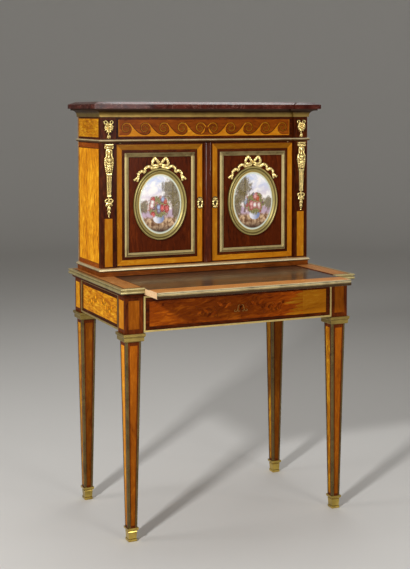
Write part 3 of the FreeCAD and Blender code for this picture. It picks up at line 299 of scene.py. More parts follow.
def painted_porcelain(name, middle, half, side, flowers):
    """A glazed plaque with a bowl of flowers in a garden, trees on one side (1 or -1), inside a gilt line."""
    tree, finish = new_material(name, 0.05, 0.2, Coat_Weight=0.35, Coat_Roughness=0.05, Specular_IOR_Level=0.3)
    picture = on_object(tree).vector("SUBTRACT", tuple(middle)).vector("MULTIPLY", (1 / half.x, 0.0, 1 / half.z))
    across, _, up = picture.parts()
    soft = picture.clouds((2.2, 1.0, 3.4), 5.0, 0.6, 0.4)
    leafy = picture.clouds((7.0, 1.0, 7.0), 6.0, 0.65, 0.3)
    dabs = picture.clouds((26.0, 1.0, 26.0), 3.0, 0.6)
    dappled = dabs.spread(0.35, 0.65)
    sky = up.spread(-0.3, 0.8).blend(colour(244, 214, 206), colour(206, 214, 238))
    sky = soft.spread(0.40, 0.62).blend(sky, colour(255, 250, 246))
    scene = (soft * 0.35 + up).spread(0.06, -0.06).blend(sky, colour(196, 170, 190))
    earth = leafy.spread(0.35, 0.65).blend(colour(112, 72, 44), colour(226, 190, 148))
    earth = up.spread(-0.6, -0.95).blend(earth, colour(66, 42, 32))
    scene = (leafy * 0.3 + up).spread(-0.2, -0.36).blend(scene, earth)
    trunk = abs(across - (soft * 0.18 + 0.5 * side)).spread(0.05, 0.03) * up.spread(-0.4, -0.36)
    scene = (trunk * 0.8).blend(scene, colour(104, 74, 54))
    green = dappled.blend(colour(52, 44, 28), colour(150, 132, 84))
    for spot, size in (((0.5 * side, 0.5), (0.42, 0.3)), ((0.66 * side, 0.16), (0.3, 0.26)),
                       ((0.8 * side, -0.2), (0.22, 0.3)), ((-0.76 * side, -0.08), (0.22, 0.2))):
        scene = (oval_mask(across, up, spot, size, leafy, 2.0, 0.3) * 0.9).blend(scene, green)
    spot = -0.08 * side
    china = across.spread(spot - 0.2, spot + 0.2).blend(colour(240, 238, 244), colour(130, 144, 186))
    scene = oval_mask(across, up, (spot, -0.46), (0.26, 0.17), dabs, 0.1).blend(scene, china)
    bunch = oval_mask(across, up, (spot, -0.08), (0.5, 0.36), leafy, 1.2, 0.12)
    scene = bunch.blend(scene, dappled.blend(colour(92, 92, 58), colour(168, 158, 104)))
    petals = add(tree, "ShaderNodeTexVoronoi", {"Vector": picture, "Scale": 4.6, "Randomness": 0.85}).outputs
    shades = add(tree, "ShaderNodeValToRGB", {
        "Fac": add(tree, "ShaderNodeSeparateColor", {0: petals["Color"]}).outputs[0]})
    ramp = shades.color_ramp
    ramp.interpolation = "CONSTANT"
    while len(ramp.elements) < len(flowers):
        ramp.elements.new(0.5)
    for number, (element, shade) in enumerate(zip(ramp.elements, flowers)):
        element.position = number / len(flowers)
        element.color = colour(*shade)
    reach = Wire(petals["Distance"])
    bloom = reach.spread(0.08, 0.5).blend(shades.outputs[0], colour(176, 104, 96), "MULTIPLY")
    bloom = (dabs.spread(0.5, 0.7) * 0.5).blend(bloom, colour(255, 250, 244))
    scene = (bunch * reach.spread(0.62, 0.52)).blend(scene, bloom)
    rim = (across * across + up * up).maths("SQRT")
    scene = rim.spread(0.90, 0.95).blend(scene, colour(214, 222, 204))
    scene = rim.spread(0.975, 0.985).blend(scene, colour(196, 164, 92))
    return finish(scene, dabs.spread(0.3, 0.7, 0.14, 0.26), dabs)


ROSEWOOD = (98, 40, 8), (66, 24, 4), (38, 11, 2), 1.2, 0.5
MAHOGANY = (106, 42, 8), (78, 27, 4), (48, 14, 2), 1.0, 0.5
OAK = (190, 150, 102), (160, 118, 74), (118, 80, 46), 1.0, 0.6
WOODS = {  # light, middle and dark shade, flame, pores and grain; then polish and gloss, where they aren't the usual
    "satinwood": ((252, 186, 42), (220, 142, 16), (176, 98, 6), 1.7, 0.2, "leaf"),
    "satin_band": ((240, 172, 44), (214, 132, 20), (176, 96, 10), 0.8, 0.2, "leaf"),
    "amber_veneer": ((188, 108, 22), (150, 78, 10), (106, 46, 5), 0.8, 0.25, "leaf"),
    "russet_veneer": ((174, 92, 18), (138, 64, 8), (100, 40, 5), 1.0, 0.3, "leaf"),
    "rosewood_veneer": (*ROSEWOOD, "leaf"),
    "golden_veneer": ((192, 98, 14), (150, 66, 6), (106, 38, 3), 1.2, 0.25, "leaf"),
    "pale_line": ((242, 206, 130), (224, 178, 92), (188, 138, 60), 0.8, 0.1, "leaf"),
    "border_veneer": ((238, 170, 100), (216, 144, 78), (182, 110, 52), 0.9, 0.2, "leaf"),
    "raw_wood": ((246, 214, 172), (230, 190, 144), (200, 154, 106), 0.9, 0.2, "x", 0.0),
    "leg_wood": ((122, 56, 14), (88, 36, 8), (54, 18, 3), 1.0, 0.4, "z"),
    "plinth_wood": ((142, 76, 22), (108, 52, 12), (70, 28, 5), 1.0, 0.4, "x"),
    "bead_wood": (*MAHOGANY, "z", 0.7, 0.08),
    "rosewood_x": (*ROSEWOOD, "x"), "rosewood_y": (*ROSEWOOD, "y"), "rosewood_z": (*ROSEWOOD, "z"),
    "mahogany_y": (*MAHOGANY, "y"), "mahogany_z": (*MAHOGANY, "z"), "oak_x": (*OAK, "x"), "oak_y": (*OAK, "y"),
}
METALS = {  # bright and tarnished colour, where it dulls (hollows, painted shade); then age, how metallic, how dull, relief if not usual
    "brass": ((236, 214, 146), (128, 98, 44), marked, 0.4, 0.75, 0.3),
    # frieze and base strings: undersides painted in shade below their lit tops
    "frieze_brass": ((255, 236, 186), (96, 66, 26), painted_moulding_shade("frieze_string", 2, 5)),
    "base_brass": ((246, 228, 180), (108, 80, 36), painted_moulding_shade("base_string", 3.5, 8)),
    # door mouldings: painted shade along the middle line and the upper length
    "door_brass": ((222, 202, 140), (78, 54, 22), painted_frame_shade("door_left_moulding")),
    "string_brass": ((198, 172, 106), (122, 98, 50), marked, 0.4, 0.75),
    "sabot_brass": ((212, 182, 92), (54, 38, 10), marked, 0.5, 0.95, 0.1),
    "bronze": ((162, 138, 70), (92, 68, 28), marked, 0.5, 0.75, 0.28),
    "dark_bronze": ((112, 92, 50), (52, 38, 18), marked, 0.6, 0.75, 0.2),
    "pale_bronze": ((180, 164, 100), (104, 88, 40), marked, 0.4, 0.5, 0.36),
    # cornice: painted shade under the marble, darker towards its top
    "cornice_bronze": ((130, 104, 46), (56, 32, 12), painted_moulding_shade("cornice", 16, 7)),
    # edges of the top and the slide: painted shade on the underside and a painted dark line at a seam
    "edge_brass": ((206, 188, 130), (70, 54, 24), painted_moulding_shade("top_moulding", 11, 17, 4.5)),
    "slide_brass": ((246, 230, 180), (70, 48, 20), painted_moulding_shade("slide_moulding", 6, 11, 2.2)),
    "gilt_bronze": ((252, 224, 146), (110, 74, 22), marked, 0.15, 0.75, 0.2, 0.03),
}
finishes = {name: wood(name, *made) for name, made in WOODS.items()}
finishes.update({name: metal(name, *made) for name, made in METALS.items()})
finishes.update(marble=red_marble(), leather=desk_leather())
CAD_FINISHES = {
    "leg_wood": "leg_front_left leg_front_right leg_back_left leg_back_right",
    "rosewood_z": "cabinet_side_left cabinet_side_right pilaster_left pilaster_right",
    "rosewood_y": "apron_left apron_right",
    "rosewood_x": "drawer_front frieze",
    "mahogany_z": "door_left door_right",
    "mahogany_y": "top_cheek_left top_cheek_right",
    "bead_wood": "door_battement",
    "plinth_wood": "cabinet_plinth",
    "raw_wood": "slide_board",
    "oak_x": "apron_back front_lower_rail front_upper_rail drawer_back drawer_bottom top_back_rail cabinet_bottom "
             "cabinet_back cabinet_top shelf",
    "oak_y": "drawer_runner_left drawer_runner_right drawer_side_left drawer_side_right",
    "brass": "drawer_lock door_left_pivots door_right_pivots",
    "frieze_brass": "frieze_string",
    "base_brass": "base_string",
    "door_brass": "door_left_moulding door_right_moulding",
    "bronze": "leg_collars",
    "sabot_brass": "sabot_front_left sabot_front_right sabot_back_left sabot_back_right",
    "pale_bronze": "door_left_oval_frame door_right_oval_frame",
    "dark_bronze": "door_left_lock door_right_lock leg_strips",
    "cornice_bronze": "cornice",
    "edge_brass": "top_moulding",
    "slide_brass": "slide_moulding",
    "string_brass": "apron_strings drawer_string",
    "gilt_bronze": "corner_mounts",
    "marble": "marble_top",
    "leather": "slide_leather",
}
FLOWERS = {"left": [(244, 132, 100), (250, 244, 240), (226, 96, 90), (164, 188, 228), (250, 208, 150)],
           "right": [(246, 158, 92), (160, 190, 220), (250, 246, 240), (236, 176, 172), (226, 104, 84)]}


def dress_frame():
    """Gives every carried-over solid its finish."""
    given = {name: finishes[finish] for finish, names in CAD_FINISHES.items() for name in names.split()}
    for hand, sign in HANDS.items():
        plaque = f"door_{hand}_plaque"
        low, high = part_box(plaque)
        given[plaque] = painted_porcelain(f"painted_porcelain_{hand}", (low + high) / 2, (high - low) / 2, -sign,
                                          FLOWERS[hand])
    for name, finish in given.items():
        for slot in nodes[name].material_slots:
            slot.material = finish


# Making pieces
def show(name, data):
    """A new object in the scene."""
    thing = bpy.data.objects.new(name, data)
    bpy.context.scene.collection.objects.link(thing)
    return thing


def mesh_from(name, sheet):
    mesh = bpy.data.meshes.new(name)
    sheet.to_mesh(mesh)
    sheet.free()
    return mesh


def show_piece(name, mesh, body, finish, smooth=False):
    """A finished mesh that rides on a body."""
    mesh.materials.clear()
    mesh.materials.append(finishes[finish])
    mesh.polygons.foreach_set("use_smooth", [smooth] * len(mesh.polygons))
    piece = show(name, mesh)
    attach(piece, body)
    return piece


def make_piece(name, sheet, body, finish, smooth=False):
    sheet.normal_update()
    bmesh.ops.triangulate(sheet, faces=[face for face in sheet.faces if len(face.verts) > 4])
    return show_piece(name, mesh_from(name, sheet), body, finish, smooth)


def join_rows(sheet, rows):
    """Faces between rows of points that each run round."""
    for row, following in zip(rows, rows[1:]):
        for first in range(len(row)):
            second = (first + 1) % len(row)
            sheet.faces.new((row[first], row[second], following[second], following[first]))


# Veneer: thin leaves, each with its own grain, gathered by body and finish
LEAF = 0.18 * MM  # what one level of veneer rises
FIGURE_STEP = 0.173  # metres along the timber from one cut to the next
FIGURE_DRIFT = 0.618  # share of that step that goes across the timber
ALONG, UP = (1, 0), (0, 1)  # ways of the grain on a face
leaves = {}


def lay(body, finish, outline, out, grain, tone, level=2, cut=None):
    """A leaf of veneer with its outline, in millimetres, on the surface that carries it.

    Leaves of one cut share their figure. The tone is one number, or a list with one for each point of the outline.
    """
    pile = leaves.setdefault((body, finish), [])
    pile.append(([Vector(point) * MM for point in outline], Vector(out), Vector(grain).normalized(), tone, level * LEAF,
                 len(pile) if cut is None else cut))


def press_leaves():
    """Makes the gathered leaves into one thin mesh for each body and finish."""
    for (body, finish), pile in leaves.items():
        sheet = bmesh.new()
        grain_map = sheet.loops.layers.uv.new("grain")
        tone_mark = sheet.verts.layers.float.new("tone")
        for outline, out, grain, tone, rise, cut in pile:
            arms = [point - outline[0] for point in outline]
            turn = sum((a.cross(b) for a, b in zip(arms, arms[1:])), Vector())
            tones = tone if isinstance(tone, list) else [tone] * len(outline)
            if turn.dot(out) < 0:
                outline, tones = outline[::-1], tones[::-1]
            upper = [sheet.verts.new(point + out * rise) for point in outline]
            lower = [sheet.verts.new(point - out * LEAF / 2) for point in outline]
            for vert, shade in zip(upper + lower, tones * 2):
                vert[tone_mark] = shade
            start = len(sheet.faces)
            sheet.faces.new(upper)
            sheet.faces.new(lower[::-1])
            join_rows(sheet, [lower, upper])
            across = out.cross(grain)
            shift = FIGURE_STEP * cut
            sheet.faces.ensure_lookup_table()
            for face in sheet.faces[start:]:
                for loop in face.loops:
                    spot = loop.vert.co
                    loop[grain_map].uv = (spot.dot(grain) + shift, spot.dot(across) + FIGURE_DRIFT * shift)
        make_piece(f"{finish}_{body}", sheet, body, finish)


def box(node):
    """The low and the high corner of a solid, in millimetres."""
    return [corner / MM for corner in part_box(node)]


def corners(across, up, inset=0):
    """The corners of a panel, or of the panel inside it."""
    (a0, a1), (b0, b1) = across, up
    return [(a0 + inset, b0 + inset), (a1 - inset, b0 + inset), (a1 - inset, b1 - inset), (a0 + inset, b1 - inset)]


class Face:
    """The side of a solid that looks one way. Places on it are pairs in millimetres, across and up."""
    WAYS = {"front": (1, -1), "back": (1, 1), "left": (0, -1), "right": (0, 1), "top": (2, 1)}  # axis, sign

    def __init__(self, node, facing, body="desk", sunk=0):
        self.body = body
        self.axis, way = self.WAYS[facing]
        self.plane = box(node)[way > 0][self.axis] - way * sunk
        self.out = self.lift((0, 0), way)

    def lift(self, pair, plane):
        spot = list(pair)
        spot.insert(self.axis, plane)
        return Vector(spot)

    def leaf(self, finish, outline, grain, tone, level=2, cut=None):
        outline = [self.lift(pair, self.plane) for pair in outline]
        lay(self.body, finish, outline, self.out, self.lift(grain, 0), tone, level, cut)

    def panel(self, finish, across, up, grain, tone, level=2):
        self.leaf(finish, corners(across, up), grain, tone, level)

    def banding(self, finish, across, up, width, tones, gap):
        """Four strips mitred round a panel with the grain along each: bottom, right, top, left.

        The gap names the upright strip that stops short and the heights it leaves open.
        """
        outer, inner = corners(across, up), corners(across, up, width)
        for number, tone in enumerate(tones):
            after = (number + 1) % 4
            start, end, back, home = outer[number], outer[after], inner[after], inner[number]
            strips = [[start, end, back, home]]
            if gap[0] == number:
                near, far = gap[1:] if start[1] < end[1] else gap[:0:-1]
                strips = [[start, (start[0], near), (home[0], near), home], [(end[0], far), end, back, (back[0], far)]]
            for strip in strips:
                self.leaf(finish, strip, UP if number % 2 else ALONG, tone, 2, number)

    def line(self, finish, points, width, tone, level=4):
        """An inlaid line, thinner towards its ends. Short stretches let it curl tightly."""
        points = [Vector(point) for point in points]
        last = len(points) - 1
        sides = []
        for number, point in enumerate(points):
            along = (points[min(number + 1, last)] - points[max(number - 1, 0)]).normalized()
            share = min(1, 0.3 + 5 * min(number, last - number) / last)
            step = Vector((-along.y, along.x)) * width / 2 * share
            sides.append((point + step, point - step))
        for start in range(0, last, 3):
            left, right = zip(*sides[start:start + 4])
            self.leaf(finish, left + right[::-1], ALONG, tone, level, 0)


# Lines and leaves to be inlaid
def winding(middle, reaches, angles, count=14):
    """Points round a middle, from one reach and angle in degrees to another."""
    return [(middle[0] + reach * math.cos(a), middle[1] + reach * math.sin(a))
            for reach, a in zip(np.linspace(*reaches, count), np.radians(np.linspace(*angles, count)))]


def spiral(middle, radius, start, turns, end=0.12):
    """A winding that runs in to a share of its radius; a negative number of turns runs clockwise."""
    return winding(middle, (radius, end * radius), (start, start + 360 * turns), 37)


def bend(handles, count=14):
    """Points of a curve that leaves the first handle for the second and comes to the last from the third."""
    first, second, third, last = (Vector(handle) for handle in handles)
    return [first * (1 - t) ** 3 + second * 3 * t * (1 - t) ** 2 + third * 3 * t * t * (1 - t) + last * t ** 3
            for t in (number / count for number in range(count + 1))]


def leaf_outline(foot, tip, width, count=10):
    """A pointed leaf from its foot to its tip."""
    foot, tip = Vector(foot), Vector(tip)
    along = tip - foot
    across = Vector((-along.y, along.x)).normalized()
    sides = ([], [])
    for share in (number / count for number in range(count + 1)):
        bulge = width / 2 * math.sin(math.pi * share ** 0.75)
        sides[0].append(foot + along * share + across * bulge)
        sides[1].append(foot + along * share - across * bulge)
    return sides[0] + sides[1][-2:0:-1]


def foliage(face, middle, reach, size, finish, stem_tone, leaf_tones):
    """Inlaid stems with curls and leaves, alike on both sides of a middle point."""
    steps, leaf_count = 40, 16
    for way in (-1, 1):
        def turned(points):
            return [(middle[0] + way * a, middle[1] + b) for a, b in points]

        stem = [(reach * share, 13 * size * math.sin(2.1 * math.pi * share) * (1 - 0.45 * share))
                for share in (0.1 + 0.9 * number / steps for number in range(steps + 1))]
        face.line(finish, turned(stem), 1.6 * size, stem_tone)
        for share, curl, start in ((0.14, -1, 90), (0.34, 1, 250), (0.54, -1, 80), (0.74, 1, 260), (0.9, -1, 80)):
            foot = stem[int(share * steps)]
            radius = 9.5 * size * (1.1 - 0.5 * share)
            centre = (foot[0], foot[1] - radius * (1 if start < 180 else -1))
            face.line(finish, turned(spiral(centre, radius, start, 1.2 * curl)), 1.4 * size, stem_tone,
                      4.1 + 0.5 * share)
        for number in range(leaf_count):
            share = 0.04 + 0.94 * number / (leaf_count - 1)
            foot = Vector(stem[int(share * steps)])
            tip = foot + Vector((9 + 3 * (number % 3), 11 if number % 2 else -11)) * size * (1.2 - 0.5 * share)
            face.leaf(finish, leaf_outline(*turned([foot, tip]), 6.5 * size), (1, 1),
                      leaf_tones[number % len(leaf_tones)], 5 + 0.1 * number, number)


def lay_wave(face, middle, radius, pitch, base, way):
    """One wave of the scroll: a light body, a tongue that curls over from its crest, and dark lines along them."""
    def placed(points):
        return [(-way * a, b) for a, b in points if a < -0.5]

    crest, turns, arm = 60, 1.3, 0.3 * radius
    gap = middle[1] - base
    front = winding(middle, (gap, radius - arm), (-90, crest))
    crest_out = Vector((math.cos(math.radians(crest)), math.sin(math.radians(crest))))
    slope = Vector((crest_out.y, -crest_out.x))
    start = Vector(middle) + radius * crest_out
    end = Vector((middle[0] + pitch, base + 1.5))
    back = bend([start, start + slope * 0.24 * pitch, end - Vector((0.45 * pitch, 0)), end])
    face.leaf("satin_band", placed(front + back + [(end.x, base)]), ALONG, 0.74, 3)
    face.line("satin_band", placed(spiral(middle, radius - arm / 2, crest - 14, turns, 0.16)), arm, 0.42, 3.3)
    under = back + winding((end.x, middle[1]), (gap - 1.5, gap - 1.5), (-90, -15))
    for points, width, level in ((front + spiral(middle, radius - arm, crest, turns), 1.5, 4),
                                 (spiral(middle, radius, crest, turns, 0.2), 1.7, 4.2), (under, 2.2, 4.4)):
        face.line("russet_veneer", placed(points), width, 0.3, level)


# The veneers of each part of the desk; sizes are in millimetres
LEG_TAPER = ((35, 14), (593, 24))  # height and half width at the foot and at the top
LEG_EDGE = 7  # from the side of a leg to its panel, before the panel is narrowed
CHEEK_INNER = 304  # from the middle of the desk to a cheek
DOOR_MEETING = 14.5  # from the middle of the desk to the veneered edge of a door
FRIEZE_SUNK = 10  # from the face of the pilasters back to the frieze


def leg_half(z):
    (z0, half0), (z1, half1) = LEG_TAPER
    return half0 + (half1 - half0) * (z - z0) / (z1 - z0)


def veneer_legs():
    """A golden panel on every face of each tapered leg and on the outer faces of its post."""
    z0, z1 = box("leg_strips")[0].z + 7, box("leg_collars")[0].z - 12
    span = (box("leg_collars")[1].z + 13, box("top_moulding")[0].z - 20)
    for end, sign_y in (("front", -1), ("back", 1)):
        for hand, sign_x in HANDS.items():
            leg = f"leg_{end}_{hand}"
            low, high = box(leg)
            middle = (low + high) / 2
            for turn in range(4):
                spin = Matrix.Rotation(turn * math.pi / 2, 3, "Z")
                outline = [Vector((middle.x, middle.y, z)) + spin @ Vector(
                    (way * (leg_half(z) - LEG_EDGE) * 0.7, -leg_half(z), 0))
                    for z, way in ((z0, -1), (z0, 1), (z1, 1), (z1, -1))]
                out = spin @ Vector((0, -1, 0))
                # The tones paint light and shade: faces turned in under the desk are darker, as painted shade, and the
                # outer sides of the front legs take the lighter band, as a painted sheen of light from the side. Every
                # face is darker towards its foot.
                if abs(out.x) > 0.5:
                    outer = out.x * sign_x > 0 and end == "front"
                    finish, foot, top = ("satin_band", 0.7, 1.1) if outer else ("satinwood", 0.54, 0.72)
                else:
                    finish = "amber_veneer"
                    foot, top = (0.72, 1.15) if out.y * sign_y > 0 else (0.5, 0.66)
                lay("desk", finish, outline, out, (0, 0, 1), [foot, foot, top, top])
            # the front posts' outer sides likewise take the lighter band, a painted sheen
            Face(leg, hand).panel("satin_band" if end == "front" else "satinwood", (middle.y - 18, middle.y + 18), span,
                                  UP, 0.82)
            Face(leg, end).panel("amber_veneer", (middle.x - 16, middle.x + 16), span, UP, 0.8)


def veneer_table():
    """Golden side aprons, cheeks and the border of the slide."""
    for hand, sign in HANDS.items():
        low, high = box(f"apron_{hand}")
        apron = Face(f"apron_{hand}", hand)
        apron.panel("satinwood", (low.y + 18, high.y - 18), (low.z + 14, high.z - 16), ALONG, 0.88)
        foliage(apron, ((low.y + high.y) / 2, (low.z + high.z) / 2 - 1), 105, 0.9, "satinwood", 0.6, (1.2, 0.7, 0.56))
        low, high = box(f"top_cheek_{hand}")
        near, far = (CHEEK_INNER, high.x) if sign > 0 else (low.x, -CHEEK_INNER)
        Face(f"top_cheek_{hand}", "top").panel("border_veneer", (near + 5, far - 5), (low.y + 5, high.y - 5), UP, 0.72)
    low, high = box("slide_board")
    border = (low.y, box("slide_leather")[0].y)
    Face("slide_board", "top", "writing_slide").panel("border_veneer", (low.x, high.x), border, ALONG, 0.95)


def veneer_drawer():
    """Leaves that turn lighter to the ends, parted round the keyhole, with foliage and pale curls beside it."""
    low, high = box("drawer_front")
    front = Face("drawer_front", "front", "drawer")
    left, right, foot, top = low.x + 18, high.x - 18, low.z + 15, high.z - 17
    mid = (low.z + high.z) / 2
    hole = [(-0.2, -9), (-1.3, -9), (-1.3, -2.8)]
    hole += [(-3.1 * math.cos(a), 3.1 * math.sin(a)) for a in np.linspace(-1.1, 1.5, 8)] + [(-0.2, 3.1)]
    for way, cuts in ((-1, ((-110, 0.62), (left, 0.7))), (1, ((90, 0.78), (170, 1.1), (right, 1.2)))):
        inner = [(0, foot)] + [(-way * a, mid + b) for a, b in hole] + [(0, top)]
        near = 0.58
        for outer, tone in cuts:
            front.leaf("golden_veneer", inner + [(outer, top), (outer, foot)], (1, 0.12),
                       [near] * len(inner) + [tone, tone], 2, way)
            inner, near = [(outer, foot), (outer, top)], tone
    front.panel("satin_band", (205, right), (foot, top), (1, 0.1), 0.58, 3)
    for number, height in enumerate((6, 17, 28, 39, 50, 61)):
        flame = leaf_outline((215, foot + height), (140 + 19 * (number % 3), foot + height - 3), 10)
        front.leaf("satin_band", flame, (1, 0.1), 0.56, 2.5, number)
    foliage(front, (0, mid), 138, 1.25, "golden_veneer", 0.5, (0.5, 0.58, 0.95))
    long_curl = bend([(2, 5), (12, 10), (6, -9), (16, -13)]) + bend([(17, -13), (22, -14), (21, -6), (17, -8)])[1:]
    for way in (-1, 1):
        for curl in (long_curl, bend([(3, -11), (7, -15), (11, -12), (9, -7)])):
            front.line("pale_line", [(way * a, mid + b) for a, b in curl], 1.3, 0.5, 7)


def veneer_cabinet():
    """Side panels, pilaster inlays, door bands and the wave scroll of the frieze."""
    string_foot, string_top = (corner.z for corner in box("frieze_string"))
    base, cornice = box("base_string")[1].z, box("cornice")[0].z
    foot, top = base + 15, string_foot - 19
    for hand, sign in HANDS.items():
        low, high = box(f"pilaster_{hand}")
        across = (low.y + 18, box(f"cabinet_side_{hand}")[1].y - 6)
        side = Face(f"cabinet_side_{hand}", hand)
        side.panel("satinwood", across, (foot, top), UP, 1.05)
        side.panel("russet_veneer", across, (base + 1, foot - 1), ALONG, 0.95)
        side.panel("russet_veneer", across, (top + 2, string_foot - 3), ALONG, 0.95)
        side.panel("satinwood", across, (string_top + 7, cornice - 5), ALONG, 0.7)
        for share, turns, start in ((0.3, 1.5, 20), (0.68, -1.6, 200)):
            middle = (across[0] + share * (across[1] - across[0]), (string_top + cornice) / 2)
            side.line("satinwood", spiral(middle, 24, start, turns), 2.6, 0.46, 4 + share)
        middle = (low.x + high.x) / 2
        span = (base + 6, box("corner_mounts")[0].z - 3)
        Face(f"pilaster_{hand}", "front").panel("satin_band", (middle - 12, middle + 12), span, UP, 0.66)
        veneer_door(hand, sign)
    veneer_frieze(string_top + 9, cornice - 8)


def veneer_door(hand, sign):
    """A golden band and a dark one inside it, open under the key plate."""
    low, high = box(f"door_{hand}")
    near, far = (low.x, -DOOR_MEETING) if sign < 0 else (DOOR_MEETING, high.x)
    mid = (low.z + high.z) / 2
    gap = (1 if sign < 0 else 3, mid - 15, mid + 14)
    front = Face(f"door_{hand}", "front", f"{hand}_door")
    # the top strip's low tone is painted shade under the frieze string
    for finish, inset, width, tones in (("satin_band", 3, 16, (0.74, 0.72, 0.34, 0.62)),
                                        ("rosewood_veneer", 19, 8, (1.0, 1.0, 1.0, 1.0))):
        front.banding(finish, (near + inset, far - inset), (low.z + inset, high.z - inset), width, tones, gap)


def veneer_frieze(foot, top):
    """A russet ground with five waves in each half that break outwards, above a golden base line."""
    front = Face("pilaster_left", "front", sunk=FRIEZE_SUNK)
    half = box("frieze")[1].x - 12
    front.panel("russet_veneer", (-half, half), (foot, top), ALONG, 0.78)
    radius, base, count = 19, foot + 3, 5
    inmost, outmost = 22, half - 24
    pitch = (outmost - inmost) / (count - 1)
    for way in (-1, 1):
        for number in range(count):
            lay_wave(front, (-outmost + pitch * number, base + radius + 2), radius, pitch, base, way)
        front.panel("satin_band", sorted((way * half, way * (half - 1.5))), (base, top), UP, 0.8, 3)
    front.panel("satin_band", (-half, half), (foot, base), ALONG, 0.85, 3)


# Castings: closed lumps melted into one chased surface
HOLLOW_DEPTH = 0.24 * MM  # a point this far below the surface round it is fully dull
HOLLOW_REACH = 10  # rounds of smoothing that make the surface round a point


def smooth_path(points, steps):
    """A flowing line through points; each point may carry further numbers, which flow too."""
    points = [np.array(point, float) for point in points]
    ends = [2 * points[0] - points[1]] + points + [2 * points[-1] - points[-2]]
    path = []
    for a, b, c, d in zip(ends, ends[1:], ends[2:], ends[3:]):
        for t in (number / steps for number in range(steps)):
            path.append(0.5 * (2 * b + (c - a) * t + (2 * a - 5 * b + 4 * c - d) * t * t
                               + (3 * b - a - 3 * c + d) * t ** 3))
    return path + [points[-1]]


class Lumps:
    """Lumps of one casting, drawn in millimetres with its back at y 0 and its face towards -y."""

    def __init__(self):
        self.sheet = bmesh.new()

    def ball(self, middle, size, turn=0):
        place = Matrix.Translation(middle) @ Matrix.Rotation(math.radians(turn), 4, "Y") @ Matrix.Diagonal((*size, 1))
        bmesh.ops.create_uvsphere(self.sheet, u_segments=14, v_segments=9, radius=1.0, matrix=place)

    def block(self, low, high):
        middle, size = (Vector(low) + Vector(high)) / 2, Vector(high) - Vector(low)
        bmesh.ops.create_cube(self.sheet, size=1.0, matrix=Matrix.Translation(middle) @ Matrix.Diagonal((*size, 1)))

    def rod(self, points, flat=1.0, sides=10, steps=6):
        """A rod through points x, y, z, radius, flattened across its path towards the wall."""
        path = smooth_path(points, steps)
        turns = [2 * math.pi * side / sides for side in range(sides)]
        rings = []
        for number, spot in enumerate(path):
            along = path[min(number + 1, len(path) - 1)][:3] - path[max(number - 1, 0)][:3]
            along = Vector(along).normalized()
            wide = along.cross(Vector((0, -1, 0)))
            wide = Vector((1, 0, 0)) if wide.length < 1e-6 else wide.normalized()
            deep = wide.cross(along).normalized() * flat
            middle, radius = Vector(spot[:3]), float(spot[3])
            rings.append([self.sheet.verts.new(middle + radius * (wide * math.cos(turn) + deep * math.sin(turn)))
                          for turn in turns])
        join_rows(self.sheet, rings)
        self.sheet.faces.new(rings[0][::-1])
        self.sheet.faces.new(rings[-1])

    def husk(self, z, width, height, out):
        """A hanging bell flower: three petals round a bud."""
        for way in (-1, 0, 1):
            self.rod([(0, -out * 0.5, z + height * 0.5, width * 0.10),
                      (way * width * 0.22, -out * 0.8, z + height * 0.1, width * 0.22),
                      (way * width * 0.50, -out * 0.6, z - height * 0.5, width * 0.05)], 0.8, 8, 4)
        self.ball((0, -out * 0.7, z - height * 0.35), (width * 0.16, width * 0.16, height * 0.22))

    def cast(self, name, grain, polish=2):
        """Melts the lumps into one skin, smooths it and marks its hollows."""
        bmesh.ops.scale(self.sheet, vec=(MM, MM, MM), verts=self.sheet.verts)
        bmesh.ops.recalc_face_normals(self.sheet, faces=self.sheet.faces)
        mesh = mesh_from(name, self.sheet)
        mould = show(name, mesh)
        skin = mould.modifiers.new("skin", "REMESH")
        skin.mode = "VOXEL"
        skin.voxel_size = grain * MM
        mould.modifiers.new("soft", "SMOOTH").iterations = polish
        evaluated = mould.evaluated_get(bpy.context.evaluated_depsgraph_get())
        result = bpy.data.meshes.new_from_object(evaluated)
        bpy.data.objects.remove(mould)
        bpy.data.meshes.remove(mesh)
        mark_hollows(result)
        return result


def mark_hollows(mesh):
    """Writes to each point how deep it lies below the smoothed surface round it."""
    def read(items, field, width, kind=float):
        numbers = np.zeros(len(items) * width, kind)
        items.foreach_get(field, numbers)
        return numbers.reshape(-1, width)

    spots, normals = read(mesh.vertices, "co", 3), read(mesh.vertices, "normal", 3)
    first, second = read(mesh.edges, "vertices", 2, int).T
    reach = np.bincount(first, minlength=len(spots)) + np.bincount(second, minlength=len(spots))
    smooth = spots.copy()
    for _ in range(HOLLOW_REACH):
        total = np.zeros_like(smooth)
        np.add.at(total, first, smooth[second])
        np.add.at(total, second, smooth[first])
        smooth = total / np.maximum(reach, 1)[:, None]
    depth = ((smooth - spots) * normals).sum(1)
    mark = mesh.attributes.new("hollow", "FLOAT", "POINT")
    mark.data.foreach_set("value", np.clip(depth / HOLLOW_DEPTH, 0.0, 1.0).astype(np.float32))


def strike(name, castings, body, finish, stands_for=()):
    """Castings at their places as one piece: pairs of a mesh and the places it is struck at."""
    piece = bmesh.new()
    for mesh, places in castings:
        for place in places:
            start = len(piece.verts)
            piece.from_mesh(mesh)
            piece.verts.ensure_lookup_table()
            bmesh.ops.translate(piece, verts=piece.verts[start:], vec=place)
    shown = make_piece(name, piece, body, finish, smooth=True)
    for node in stands_for:
        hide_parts(node)


